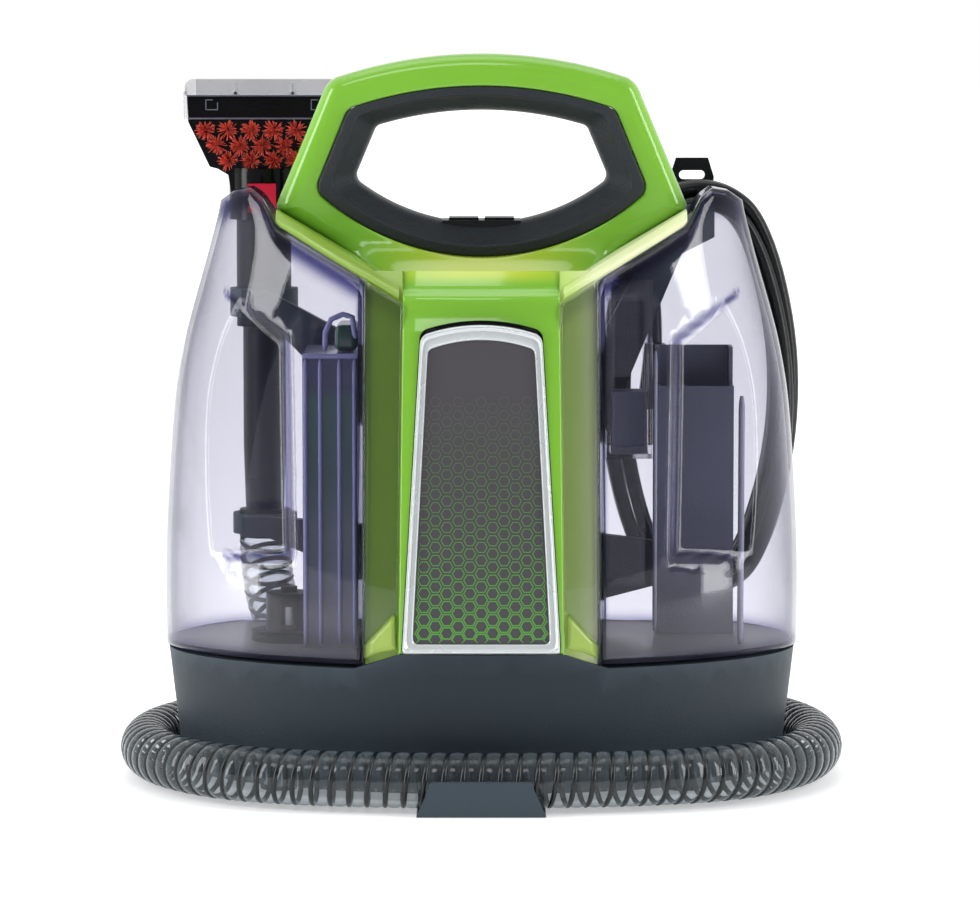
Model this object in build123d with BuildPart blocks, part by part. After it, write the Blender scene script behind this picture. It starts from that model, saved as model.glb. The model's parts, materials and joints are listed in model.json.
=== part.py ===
"""Spot extractor: a portable carpet and upholstery washer with two clear tanks.

Millimetres. +X is the right side seen from the front, the front faces -Y, +Z is up.
The origin is under the centre foot, on the floor.
"""
import math
import os

from build123d import *

# ---- driving dimensions -------------------------------------------------------
WALL = 2.5                 # moulded wall of the clear tanks
SEAM_Z = 63.0              # where the tanks stand on the base
COLUMN_HALF = 53.7         # half width of the centre column between the tanks
TANK_INNER = 54.3          # inner side wall of each tank
TANK_BACK = 58.0           # flat back wall of each tank
BASE_LOW = (143.0, 91.0)   # half axes of the base at its foot
BASE_TOP = (149.8, 95.0)   # half axes of the base at the seam
BASE_Z = (4.0, 62.0)
HOSE_D = 26.0
HOSE_Z = 14.4
CORD_D = 7.2
WAND_X = -108.0
WAND_Y = 86.0
HANK_X = 108.0
HANK_Z = 178.0
HANK_INNER = (34.6, 88.6, 21.6)
HANK_OUTER = (50.0, 104.0, 37.0)
HANK_Y = (71.0, 108.5)
HOOK_X = 105.0
HOOK_Z = 262.0
MOTOR_Z = 118.0

# height, half width and half depth of the body and tanks, from the seam to the handle
STATIONS = [
    (62.0, 151.0, 95.0),
    (90.0, 151.5, 94.6),
    (115.0, 151.0, 93.0),
    (141.0, 149.5, 90.8),
    (165.0, 147.8, 87.8),
    (187.0, 145.8, 84.3),
    (212.0, 141.0, 79.0),
    (235.0, 134.4, 72.0),
    (248.0, 130.6, 65.5),
    (260.0, 127.4, 57.6),
    (270.0, 124.6, 50.0),
    (280.0, 122.6, 42.0),
    (291.0, 124.0, 34.6),
    (304.0, 134.0, 29.5),
    (320.0, 150.0, 25.5),
    (348.0, 172.0, 21.5),
]


# the cowl drops quickly from the lip above the badge to the thickness of the handle
COWL_STATIONS = STATIONS[:7] + [
    (226.0, 137.4, 74.8),
    (235.0, 134.4, 70.5),
    (239.0, 133.0, 61.0),
    (243.0, 132.0, 49.0),
    (247.0, 131.0, 37.5),
    (251.0, 131.0, 29.5),
    (256.0, 132.0, 25.5),
    (266.0, 135.0, 24.0),
    (300.0, 150.0, 23.0),
    (348.0, 172.0, 21.5),
]


def envelope(inset, stations=STATIONS):
    """The smooth outer form of the body and tanks, drawn in by inset."""
    with BuildPart() as body:
        for z, half_width, half_depth in stations:
            with BuildSketch(Plane.XY.offset(z)):
                Ellipse(half_width - inset, half_depth - inset)
        loft(ruled=True)
    return body.part


def at_y(y):
    """The plane across the object at y, drawn in x and z, growing towards the front."""
    return Plane.XZ.offset(-y)


def slab(points, y_back, depth):
    """A front view outline in x and z, from y_back forward by depth."""
    with BuildPart() as body:
        with BuildSketch(at_y(y_back)):
            Polygon(*points, align=None)
        extrude(amount=depth)
    return body.part


def block(x, y, z):
    """A plain box from its low and high limits."""
    with BuildPart() as body:
        with BuildSketch(Plane.XY.offset(z[0])):
            with Locations(((x[0] + x[1]) / 2, (y[0] + y[1]) / 2)):
                Rectangle(x[1] - x[0], y[1] - y[0])
        extrude(amount=z[1] - z[0])
    return body.part


def tube_path(points, diameter, name):
    """Straight runs joined by arcs as large as the runs allow; prints the radii."""
    spots = [Vector(*p) for p in points]
    radii = []
    for before, corner, after in zip(spots, spots[1:], spots[2:]):
        turn = math.radians((corner - before).get_angle(after - corner))
        run = min((corner - before).length, (after - corner).length)
        radii.append(0.45 * run / math.tan(turn / 2))
    with BuildLine() as path:
        FilletPolyline(*spots, radius=radii)
    length = sum(edge.length for edge in path.edges())
    in_diameters = [round(radius / diameter, 1) for radius in radii]
    print(name, "length", round(length), "radii in diameters", in_diameters)
    return path.line, length


def tube(points, diameter, name):
    """A round cord or hose along points."""
    line, length = tube_path(points, diameter, name)
    start = (Vector(*points[1]) - Vector(*points[0])).normalized()
    with BuildPart() as body:
        with BuildSketch(Plane(origin=points[0], z_dir=start)):
            Circle(diameter / 2)
        sweep(path=line)
    expected = math.pi * diameter**2 / 4 * length
    print(name, "volume over section times length", round(body.part.volume / expected, 4))
    return body


# ---- outlines in the front view, x and z ---------------------------------------
HANDLE_EDGE = [(-98.0, 271.0), (-36.2, 235.3)]
TANK_OUTLINE = [
    (-38.8, SEAM_Z), (-36.8, 234.9), (-98.0, 270.2), (-103.5, 278.0), (-109.0, 281.0),
    (-117.0, 279.5), (-123.5, 275.0), (-160.0, 240.0), (-160.0, SEAM_Z),
]
TANK_INSIDE = [
    (-56.8, SEAM_Z + WALL), (-56.8, 243.5), (-99.0, 267.9), (-105.0, 275.6),
    (-109.5, 278.2), (-116.0, 276.9), (-122.0, 272.6), (-160.0, 237.0),
    (-160.0, SEAM_Z + WALL),
]
LIP_OUTLINE = [(-58.4, 61.0), (-58.4, 62.0), (-37.0, 69.2), (37.0, 69.2), (58.4, 62.0), (58.4, 61.0)]


def mirrored(points):
    return [(-x, z) for x, z in points]


# ---- base ----------------------------------------------------------------------
with BuildPart() as base_tub:
    with BuildSketch(Plane.XY.offset(BASE_Z[0])):
        Ellipse(*BASE_LOW)
    with BuildSketch(Plane.XY.offset(BASE_Z[1])):
        Ellipse(*BASE_TOP)
    loft()
    with BuildSketch(Plane.XY.offset(BASE_Z[0])):
        Ellipse(BASE_LOW[0] - 3, BASE_LOW[1] - 3)
    with BuildSketch(Plane.XY.offset(BASE_Z[1])):
        Ellipse(BASE_TOP[0] - 3, BASE_TOP[1] - 3)
    loft(mode=Mode.SUBTRACT)
    with BuildSketch(Plane.XY.offset(BASE_Z[1])) as lip_face:
        Ellipse(*BASE_TOP)
        Ellipse(BASE_TOP[0] - 4, BASE_TOP[1] - 4, mode=Mode.SUBTRACT)
        with Locations((0, -88)):
            Rectangle(116, 30, mode=Mode.INTERSECT)
    extrude(amount=9)
    with BuildSketch(at_y(-60)):
        Polygon((-80, 62), (-58.4, 62), (-37, 69.2), (37, 69.2), (58.4, 62), (80, 62),
                (80, 80), (-80, 80), align=None)
    extrude(amount=40, mode=Mode.SUBTRACT)

with BuildPart() as base_floor_plate:
    with BuildSketch(Plane.XY.offset(4)):
        Ellipse(139.6, 87.6)
    extrude(amount=3)
    with BuildSketch(Plane.XY.offset(4)):
        with GridLocations(116, 120, 2, 2):
            Circle(3.6)
    extrude(amount=1.8, mode=Mode.SUBTRACT)
    with BuildSketch(Plane.XY.offset(4)):
        with GridLocations(116, 120, 2, 2):
            Circle(1.8)
    extrude(amount=3, mode=Mode.SUBTRACT)

with BuildPart() as base_screws:
    with BuildSketch(Plane.XY.offset(4.3)):
        with GridLocations(116, 120, 2, 2):
            Circle(3.2)
    extrude(amount=1.5)
    with BuildSketch(Plane.XY.offset(5.8)):
        with GridLocations(116, 120, 2, 2):
            Circle(1.5)
    extrude(amount=9)

with BuildPart() as rubber_feet:
    with BuildSketch(Plane.XY):
        with GridLocations(190, 100, 2, 2):
            Circle(9)
        Circle(9)
    extrude(amount=4)
    chamfer(rubber_feet.faces().sort_by(Axis.Z)[0:5].edges(), 0.6)

with BuildPart() as base_deck:
    with BuildSketch(Plane.XY.offset(58.5)):
        Ellipse(146.2, 91.3)
    extrude(amount=3.5)
    with BuildSketch(Plane.XY.offset(58.5)):
        with Locations((-92, -10)):
            Circle(12.3)
        with Locations((-8, -55)):
            Circle(6)
        with Locations((20, -60)):
            Circle(6)
    extrude(amount=3.5, mode=Mode.SUBTRACT)

with BuildPart() as hose_clip:
    with BuildSketch(Plane.YZ.offset(-29.5)):
        Polygon((-131, 0.2), (-80, 0.2), (-80, 3.9), (-86, 3.9), (-86, 1.2), (-128.6, 1.2),
                (-128.6, 16.2), (-131, 16.2), align=None)
    extrude(amount=59)
    with BuildSketch(at_y(-70)):
        Polygon((-29.5, 0), (29.5, 0), (22.3, 16.4), (-22.3, 16.4), align=None)
    extrude(amount=70, mode=Mode.INTERSECT)

# ---- centre column, cowl and carrying handle -------------------------------------
with BuildPart() as outline_grip:
    with BuildSketch(at_y(40)):
        with BuildLine():
            ThreePointArc((-63, 318), (0, 329), (63, 318))
            Line((63, 318), (78.5, 280))
            ThreePointArc((78.5, 280), (0, 248.6), (-78.5, 280))
            Line((-78.5, 280), (-63, 318))
        make_face()
    extrude(amount=80)
    fillet(outline_grip.edges().filter_by(Axis.Y), 7)

with BuildPart() as outline_handle:
    with BuildSketch(at_y(100)):
        with BuildLine():
            ThreePointArc((-72.5, 331.5), (0, 344), (72.5, 331.5))
            Line((72.5, 331.5), (98, 271))
            Line((98, 271), (36.2, 235.3))
            Line((36.2, 235.3), (-36.2, 235.3))
            Line((-36.2, 235.3), (-98, 271))
            Line((-98, 271), (-72.5, 331.5))
        make_face()
    extrude(amount=200)
    fillet(outline_handle.edges().filter_by(Axis.Y).group_by(Axis.Z)[-1], 13)

BEZEL_PLANE = Plane(origin=(0, -95.5, 69.9), x_dir=(1, 0, 0), z_dir=(0, -0.9934, 0.1146))


def bezel_outline(grow):
    """The tall badge outline in its own leaning plane, wider at the foot."""
    with BuildSketch() as outline:
        with BuildLine():
            Line((-36.4 - grow, -grow), (36.4 + grow, -grow))
            Line((36.4 + grow, -grow), (28 + grow, 146))
            ThreePointArc((28 + grow, 146), (0, 151 + grow), (-28 - grow, 146))
            Line((-28 - grow, 146), (-36.4 - grow, -grow))
        make_face()
        fillet(outline.vertices().group_by(Axis.Y)[-1], 5)
    return outline.sketch


with BuildPart() as column:
    add(envelope(0, COWL_STATIONS))
    add(outline_handle.part, mode=Mode.INTERSECT)
    with BuildPart(mode=Mode.PRIVATE) as middle:
        add(envelope(0))
        add(slab([(-36.4, 236), (36.4, 236), (38.4, 63.2), (-38.4, 63.2)], 100, 200), mode=Mode.INTERSECT)
    add(middle.part)
    with BuildPart(mode=Mode.PRIVATE) as flanks:
        add(envelope(3.2))
        add(slab([(-COLUMN_HALF, 63.2), (-COLUMN_HALF, 245.4), (-36.2, 235.3), (36.2, 235.3),
                  (COLUMN_HALF, 245.4), (COLUMN_HALF, 63.2)], 100, 200), mode=Mode.INTERSECT)
    add(flanks.part)
    with BuildPart(mode=Mode.PRIVATE) as inside:
        add(envelope(9))
        add(block((-50.7, 50.7), (-100, 100), (62, 226)), mode=Mode.INTERSECT)
    add(inside.part, mode=Mode.SUBTRACT)
    add(outline_grip.part, mode=Mode.SUBTRACT)
    add(slab([(-58.9, 60), (-58.9, 62.3), (-37.2, 69.6), (37.2, 69.6), (58.9, 62.3), (58.9, 60)], -82, 20),
        mode=Mode.SUBTRACT)
    with BuildSketch(BEZEL_PLANE):
        add(bezel_outline(0.25))
    extrude(amount=14, mode=Mode.SUBTRACT)

with BuildPart() as front_shell:
    add(column.part)
    add(block((-200, 200), (-200, -0.1), (0, 400)), mode=Mode.INTERSECT)

with BuildPart() as rear_shell:
    add(column.part)
    add(block((-200, 200), (0.1, 200), (0, 400)), mode=Mode.INTERSECT)
    with BuildSketch(at_y(100)):
        with Locations((0, 120)):
            Rectangle(56.6, 48.6)
    extrude(amount=60, mode=Mode.SUBTRACT)

with BuildPart() as grip_ring:
    with BuildSketch(at_y(24)):
        with BuildLine():
            ThreePointArc((-62.8, 317.8), (0, 328.7), (62.8, 317.8))
            Line((62.8, 317.8), (78.2, 280.1))
            ThreePointArc((78.2, 280.1), (0, 248.9), (-78.2, 280.1))
            Line((-78.2, 280.1), (-62.8, 317.8))
        make_face()
    extrude(amount=48)
    fillet(grip_ring.edges().filter_by(Axis.Y), 7)
    with BuildSketch(at_y(30)):
        with BuildLine():
            ThreePointArc((-50, 310), (0, 317.5), (50, 310))
            Line((50, 310), (60.5, 285))
            ThreePointArc((60.5, 285), (0, 263.6), (-60.5, 285))
            Line((-60.5, 285), (-50, 310))
        make_face()
    extrude(amount=60, mode=Mode.SUBTRACT)
    add(block((-18.8, 18.8), (-13.8, 13.8), (254.5, 275)), mode=Mode.SUBTRACT)

with BuildPart() as switch_bezel:
    add(block((-18.5, 18.5), (-13.5, 13.5), (254.7, 265.4)))
    with BuildSketch(Plane.XY.offset(256.4)):
        with GridLocations(17.0, 0, 2, 1):
            Rectangle(14.4, 20.6)
    extrude(amount=12, mode=Mode.SUBTRACT)


def rocker(centre_x):
    """One rocking switch cap with two raised ends."""
    with BuildPart() as cap:
        with BuildSketch(Plane.YZ.offset(centre_x - 6.9)):
            Polygon((-9.4, 259.6), (9.4, 259.6), (9.4, 266.6), (0, 265.4), (-9.4, 266.6), align=None)
        extrude(amount=13.8)
        with BuildSketch(Plane.YZ.offset(centre_x - 6.9)):
            with Locations((0, 261.5)):
                Circle(3.4)
        extrude(amount=13.8)
    return cap


power_rocker = rocker(-8.5)
heat_rocker = rocker(8.5)

with BuildPart() as bezel:
    with BuildSketch(BEZEL_PLANE.offset(0.1)):
        add(bezel_outline(0))
        with BuildLine():
            Line((-31.5, 4.5), (31.5, 4.5))
            Line((31.5, 4.5), (24.5, 139.5))
            ThreePointArc((24.5, 139.5), (0, 144), (-24.5, 139.5))
            Line((-24.5, 139.5), (-31.5, 4.5))
        make_face(mode=Mode.SUBTRACT)
    extrude(amount=5.4)

with BuildPart() as badge_panel:
    with BuildSketch(BEZEL_PLANE.offset(0.1)):
        with BuildLine():
            Line((-31.3, 4.7), (31.3, 4.7))
            Line((31.3, 4.7), (24.3, 139.3))
            ThreePointArc((24.3, 139.3), (0, 143.8), (-24.3, 139.3))
            Line((-24.3, 139.3), (-31.3, 4.7))
        make_face()
    extrude(amount=3.2)

with BuildPart() as exhaust_grille:
    with BuildSketch(at_y(84)):
        with Locations((0, 120)):
            Rectangle(56, 48)
            with GridLocations(0, 8, 1, 5):
                SlotOverall(46, 4, mode=Mode.SUBTRACT)
    extrude(amount=3)

# ---- suction motor, pump and heater ----------------------------------------------
with BuildPart() as motor_housing:
    with BuildSketch(Plane.XY.offset(MOTOR_Z)):
        Circle(40)
    extrude(amount=66)
    with BuildSketch(Plane.XY.offset(MOTOR_Z + 3)):
        Circle(36)
    extrude(amount=60, mode=Mode.SUBTRACT)
    with BuildSketch(Plane.XY.offset(MOTOR_Z)):
        Circle(8)
        with PolarLocations(24, 6):
            Circle(5)
    extrude(amount=66, mode=Mode.SUBTRACT)

with BuildPart() as motor_stator:
    with BuildSketch(Plane.XY.offset(MOTOR_Z + 10)):
        Circle(35.8)
        Circle(21, mode=Mode.SUBTRACT)
    extrude(amount=44)

with BuildPart() as motor_bearings:
    for z in (MOTOR_Z - 1, MOTOR_Z + 62):
        with BuildSketch(Plane.XY.offset(z)):
            Circle(7.95)
            Circle(4.05, mode=Mode.SUBTRACT)
        extrude(amount=5)

with BuildPart() as motor_rotor:
    with BuildSketch(Plane.XY.offset(95)):
        Circle(4)
    extrude(amount=93)
    with BuildSketch(Plane.XY.offset(MOTOR_Z + 12)):
        Circle(20)
    extrude(amount=40)

with BuildPart() as fan_impeller:
    with BuildSketch(Plane.XY.offset(97)):
        Circle(41)
        Circle(4, mode=Mode.SUBTRACT)
    extrude(amount=2)
    with BuildSketch(Plane.XY.offset(99)):
        Circle(8)
        Circle(4, mode=Mode.SUBTRACT)
        with PolarLocations(24, 9, start_angle=10):
            Rectangle(32.5, 1.6)
    extrude(amount=12)
    with BuildSketch(Plane.XY.offset(111)):
        Circle(41)
        Circle(17, mode=Mode.SUBTRACT)
    extrude(amount=1.5)

with BuildPart() as fan_cover:
    with BuildSketch(Plane.XY.offset(92)):
        Circle(47)
    extrude(amount=25.8)
    with BuildSketch(Plane.XY.offset(94)):
        Circle(44.5)
    extrude(amount=24, mode=Mode.SUBTRACT)
    with BuildSketch(Plane.XY.offset(90)):
        Circle(15)
        with PolarLocations(36, 4):
            Circle(3)
    extrude(amount=10, mode=Mode.SUBTRACT)

with BuildPart() as suction_duct:
    add(block((-26, 26), (-66, -50), (66, 214)))
    add(block((-24, 24), (-64, -52), (64, 216)), mode=Mode.SUBTRACT)

with BuildPart() as solution_pump:
    with BuildSketch(Plane.YZ.offset(30)):
        with Locations((10, 30)):
            Circle(17)
    extrude(amount=42)
    with BuildSketch(Plane.YZ.offset(72)):
        with Locations((10, 30)):
            Circle(9)
    extrude(amount=14)
    add(block((34, 66), (-2, 22), (7.1, 16)))

with BuildPart() as solution_heater:
    add(block((-88, -24), (-40, 8), (12, 34)))
    for y in (-34, -24, -14, -4):
        add(block((-92, -20), (y - 1, y + 1), (10, 36)))
    for x in (-80, -32):
        add(block((x - 3, x + 3), (-30, -2), (7.1, 12)))

with BuildPart() as solution_tube:
    line, _ = tube_path([(-92, -10, 54), (-92, -10, 44), (-60, 24, 46), (0, 26, 46), (22, 18, 40), (29.8, 12, 34)],
                        6, "solution tube")
    with BuildSketch(Plane(origin=(-92, -10, 54), z_dir=(0, 0, -1))):
        Circle(3)
        Circle(2, mode=Mode.SUBTRACT)
    sweep(path=line)

with BuildPart() as valve_seat:
    with BuildSketch(Plane.XY.offset(54)):
        with Locations((-92, -10)):
            Circle(12)
            Circle(2.5, mode=Mode.SUBTRACT)
    extrude(amount=8)
    with BuildSketch(Plane.XY.offset(62)):
        with Locations((-92, -10)):
            Circle(10)
            Circle(7, mode=Mode.SUBTRACT)
    extrude(amount=0.4)

# ---- tanks -----------------------------------------------------------------------
GRIP_PLANE = Plane(origin=(-89, -67, 115), x_dir=(0.9128, -0.4084, 0), z_dir=(-0.405, -0.906, 0.121))
GRIP_POCKET = [(0, 0), (-50, -3), (-50, 132), (-36, 122), (0, 99)]
GRIP_WALL = [(2.6, -2.8), (-52, -5.8), (-52, 138), (-35, 125.5), (2.6, 101.5)]


def tank(side):
    """One clear tank, side -1 for the left one and 1 for the right one."""
    outline = TANK_OUTLINE if side < 0 else mirrored(TANK_OUTLINE)
    inside = TANK_INSIDE if side < 0 else mirrored(TANK_INSIDE)
    near, far = TANK_INNER, 200
    wing = (-near, -20) if side < 0 else (20, near)
    with BuildPart() as finger_pocket:
        with BuildSketch(GRIP_PLANE):
            Polygon(*GRIP_POCKET, align=None)
        extrude(amount=60)
        if side > 0:
            mirror(about=Plane.YZ, mode=Mode.REPLACE)
    with BuildPart() as finger_wall:
        with BuildSketch(GRIP_PLANE.offset(-WALL)):
            Polygon(*GRIP_WALL, align=None)
        extrude(amount=60)
        if side > 0:
            mirror(about=Plane.YZ, mode=Mode.REPLACE)
    with BuildPart() as cavity:
        add(envelope(WALL))
        add(slab(inside, TANK_BACK - WALL, 200), mode=Mode.INTERSECT)
        add(finger_wall.part, mode=Mode.SUBTRACT)
    with BuildPart() as behind_wing:
        add(envelope(WALL))
        add(block(wing, (-200, 200), (50, 260)), mode=Mode.INTERSECT)
    with BuildPart() as shell:
        add(envelope(0))
        add(slab(outline, TANK_BACK, 200), mode=Mode.INTERSECT)
        add(behind_wing.part, mode=Mode.SUBTRACT)
        add(cavity.part, mode=Mode.SUBTRACT)
        add(finger_pocket.part, mode=Mode.SUBTRACT)
        lip = [(-58.9, 60), (-58.9, 62.3), (-37.2, 69.6), (37.2, 69.6), (58.9, 62.3), (58.9, 60)]
        add(slab(lip, -70, 40), mode=Mode.SUBTRACT)
    return shell


CAP_AT = (-92.0, -10.0)
with BuildPart() as clean_tank_shell:
    add(tank(-1).part)
    with BuildSketch(Plane.XY.offset(SEAM_Z)):
        with Locations(CAP_AT):
            Circle(21)
    extrude(amount=9)
    with BuildSketch(Plane.XY.offset(SEAM_Z - 1)):
        with Locations(CAP_AT):
            Circle(18.4)
    extrude(amount=12, mode=Mode.SUBTRACT)

with BuildPart() as clean_tank_cap:
    with BuildSketch(Plane.XY.offset(SEAM_Z + 0.3)):
        with Locations(CAP_AT):
            Circle(18.0)
    extrude(amount=6.7)
    with BuildSketch(Plane.XY.offset(SEAM_Z + 7)):
        with Locations(CAP_AT):
            Circle(11)
    extrude(amount=18)
    with BuildSketch(Plane.XY.offset(SEAM_Z + 7)):
        with Locations(CAP_AT):
            Circle(9)
    extrude(amount=15.5, mode=Mode.SUBTRACT)
    with BuildSketch(Plane.XY.offset(SEAM_Z)):
        with Locations(CAP_AT):
            Circle(4.05)
    extrude(amount=30, mode=Mode.SUBTRACT)
    for angle in (0, 90):
        with BuildSketch(Plane.XY.offset(SEAM_Z + 9)):
            with Locations(CAP_AT):
                Rectangle(30, 5, rotation=angle)
        extrude(amount=10, mode=Mode.SUBTRACT)

with BuildPart() as clean_valve_plunger:
    with BuildSketch(Plane.XY.offset(SEAM_Z - 0.3)):
        with Locations(CAP_AT):
            Circle(4)
    extrude(amount=28)
    with BuildSketch(Plane.XY.offset(SEAM_Z + 7.3)):
        with Locations(CAP_AT):
            Circle(8.4)
    extrude(amount=2.2)

with BuildPart() as clean_valve_spring:
    with BuildSketch(Plane.XY.offset(SEAM_Z + 9.8)):
        with Locations(CAP_AT):
            Circle(7.6)
            Circle(5.2, mode=Mode.SUBTRACT)
    extrude(amount=12.4)

with BuildPart() as clean_tank_channel:
    add(block((-84, -58), (-40, 24), (SEAM_Z + WALL + 0.1, 203)))
    add(block((-82.4, -59.6), (-38.4, 22.4), (60, 210)), mode=Mode.SUBTRACT)
    for y in (-22, -4, 12):
        add(block((-82.4, -80.4), (y - 0.8, y + 0.8), (SEAM_Z + WALL + 0.1, 203)))
    add(block((-100, -60), (-32, 12), (60, 92)), mode=Mode.SUBTRACT)

with BuildPart() as dirty_tank_shell:
    add(tank(1).part)
    with BuildSketch(at_y(TANK_BACK)):
        with Locations((104, 128)):
            Circle(17.5)
    extrude(amount=6)
    with BuildSketch(at_y(TANK_BACK + 5)):
        with Locations((104, 128)):
            Circle(15.4)
    extrude(amount=20, mode=Mode.SUBTRACT)

with BuildPart() as dirty_drain_cap:
    with BuildSketch(at_y(TANK_BACK + 0.5)):
        with Locations((104, 128)):
            Circle(15.1)
    extrude(amount=6)
    with BuildSketch(at_y(TANK_BACK + 0.5)):
        with Locations((104, 128)):
            SlotOverall(26, 9, mode=Mode.ADD)
            Rectangle(18, 3, mode=Mode.SUBTRACT)
    extrude(amount=3, mode=Mode.SUBTRACT)

with BuildPart() as dirty_tank_stack:
    add(block((84, 121), (8, 38), (SEAM_Z + WALL + 0.1, 203)))
    add(block((85.8, 119.2), (9.8, 36.2), (70, 210)), mode=Mode.SUBTRACT)
    add(block((82, 123), (0, 20), (185, 205)), mode=Mode.SUBTRACT)

with BuildPart() as dirty_float_cage:
    add(block((60, 82), (8, 34), (150, 236)))
    add(block((62, 80), (10, 32), (152, 234)), mode=Mode.SUBTRACT)
    add(block((58, 84), (14, 28), (156, 226)), mode=Mode.SUBTRACT)
    add(block((64, 78), (6, 36), (156, 226)), mode=Mode.SUBTRACT)
    add(block((60, 82), (38, 40), (150, 152)), mode=Mode.SUBTRACT)

with BuildPart() as dirty_float:
    add(block((62.5, 79.5), (10.5, 31.5), (152.4, 182)))

# ---- wand in its holder -------------------------------------------------------------
WAND = (WAND_X, WAND_Y)
with BuildPart() as wand_grip:
    with BuildSketch(Plane.XY.offset(118)):
        with Locations(WAND):
            Ellipse(9.5, 14)
    with BuildSketch(Plane.XY.offset(150)):
        with Locations(WAND):
            Ellipse(10.5, 16.5)
    with BuildSketch(Plane.XY.offset(209)):
        with Locations(WAND):
            Ellipse(10.5, 16.5)
    loft(ruled=True)
    with BuildSketch(Plane.XY.offset(118)):
        with Locations(WAND):
            Ellipse(7.3, 11.8)
    with BuildSketch(Plane.XY.offset(150)):
        with Locations(WAND):
            Ellipse(8.3, 14.3)
    with BuildSketch(Plane.XY.offset(206)):
        with Locations(WAND):
            Ellipse(8.3, 14.3)
    loft(ruled=True, mode=Mode.SUBTRACT)
    add(block((WAND_X - 5, WAND_X + 5), (WAND_Y + 6, WAND_Y + 20), (164, 203)), mode=Mode.SUBTRACT)
    with BuildSketch(Plane.YZ.offset(WAND_X - 12)):
        with Locations((WAND_Y + 11, 196)):
            Circle(1.5)
    extrude(amount=24, mode=Mode.SUBTRACT)

with BuildPart() as wand_trigger:
    with BuildSketch(Plane.YZ.offset(WAND_X - 4.5)):
        with BuildLine():
            Polyline((WAND_Y + 8.2, 199), (WAND_Y + 13.5, 199), (WAND_Y + 20.5, 186), (WAND_Y + 21.5, 171),
                     (WAND_Y + 17.8, 169), (WAND_Y + 13.2, 182), (WAND_Y + 8.2, 191), close=True)
        make_face()
        with Locations((WAND_Y + 11, 196)):
            Circle(1.56, mode=Mode.SUBTRACT)
    extrude(amount=9)
    add(block((WAND_X - 1.6, WAND_X + 1.6), (WAND_Y + 8, WAND_Y + 14), (192.6, 200)), mode=Mode.SUBTRACT)

with BuildPart() as trigger_pin:
    with BuildSketch(Plane.YZ.offset(WAND_X - 7.5)):
        with Locations((WAND_Y + 11, 196)):
            Circle(1.5)
    extrude(amount=15)

with BuildPart() as wand_valve:
    with BuildSketch(Plane.XY.offset(152)):
        with Locations((WAND_X, WAND_Y - 6)):
            Circle(6)
    extrude(amount=34)
    with BuildSketch(Plane.XY.offset(186)):
        with Locations((WAND_X, WAND_Y - 6)):
            Circle(2.5)
    extrude(amount=19)

with BuildPart() as wand_neck:
    with BuildSketch(Plane.XY.offset(209.1)):
        with Locations(WAND):
            Circle(13.5)
            Circle(11.3, mode=Mode.SUBTRACT)
    extrude(amount=75)

with BuildPart() as wand_cuff:
    with BuildSketch(Plane.XY.offset(104)):
        with Locations(WAND):
            Circle(12.6)
            Circle(9, mode=Mode.SUBTRACT)
    extrude(amount=13.9)


def holder_clip(z_low, height, radius, arm_low, arm_high):
    """A spring clip round the wand on an arm from the column's side."""
    with BuildPart() as clip:
        with BuildSketch(Plane.XY.offset(z_low)):
            with Locations(WAND):
                Circle(radius + 3)
                Circle(radius, mode=Mode.SUBTRACT)
            with Locations((WAND_X, WAND_Y + radius + 4)):
                Rectangle(2 * radius - 6, 14, mode=Mode.SUBTRACT)
        extrude(amount=height)
        with BuildPart(mode=Mode.PRIVATE) as arm:
            add(slab([(-COLUMN_HALF - 0.2, arm_low), (-COLUMN_HALF - 0.2, arm_high),
                      (WAND_X + 2, z_low + height), (WAND_X - 10, z_low + height),
                      (WAND_X - 10, z_low), (WAND_X + 2, z_low)], 69.5, 8))
            with BuildSketch(Plane.XY.offset(50)):
                with Locations(WAND):
                    Circle(radius)
            extrude(amount=250, mode=Mode.SUBTRACT)
        add(arm.part)
    return clip


wand_holder_upper = holder_clip(214, 14, 13.8, 160, 200)
wand_holder_lower = holder_clip(106, 10, 12.9, 84, 112)

# ---- cleaning tool on the wand --------------------------------------------------------
with BuildPart() as tool_body:
    with BuildSketch(at_y(WAND_Y + 8)):
        Polygon((WAND_X - 15, 272), (WAND_X + 15, 272), (WAND_X + 17, 284), (WAND_X + 22, 287),
                (WAND_X + 26, 288), (WAND_X + 36.5, 310), (WAND_X + 37, 323), (WAND_X - 37, 323),
                (WAND_X - 36.5, 310), (WAND_X - 26, 288), (WAND_X - 22, 287), (WAND_X - 17, 284),
                align=None)
    extrude(amount=18)
    with BuildSketch(Plane.XY.offset(262)):
        with Locations(WAND):
            Circle(17)
    extrude(amount=25.4)
    with BuildSketch(Plane.XY.offset(261)):
        with Locations(WAND):
            Circle(13.8)
    extrude(amount=25, mode=Mode.SUBTRACT)
    with BuildSketch(Plane.XY.offset(286)):
        with Locations((WAND_X, WAND_Y + 1)):
            Rectangle(20, 8)
    with BuildSketch(Plane.XY.offset(323)):
        with Locations((WAND_X, WAND_Y + 1)):
            Rectangle(66, 7)
    loft(mode=Mode.SUBTRACT)
    add(block((WAND_X - 7.3, WAND_X + 7.3), (60, WAND_Y - 10), (265.7, 280.3)), mode=Mode.SUBTRACT)
    add(block((WAND_X - 2.5, WAND_X + 2.5), (60, WAND_Y), (270, 276)), mode=Mode.SUBTRACT)

with BuildPart() as tool_window:
    add(block((WAND_X - 38, WAND_X + 38), (WAND_Y - 11.5, WAND_Y + 9), (323.1, 331)))
    fillet(tool_window.edges().filter_by(Axis.Y).group_by(Axis.Z)[-1], 4)
    with BuildSketch(Plane.XY.offset(322)):
        with Locations((WAND_X, WAND_Y + 1)):
            Rectangle(66, 5)
    extrude(amount=12, mode=Mode.SUBTRACT)

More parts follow.
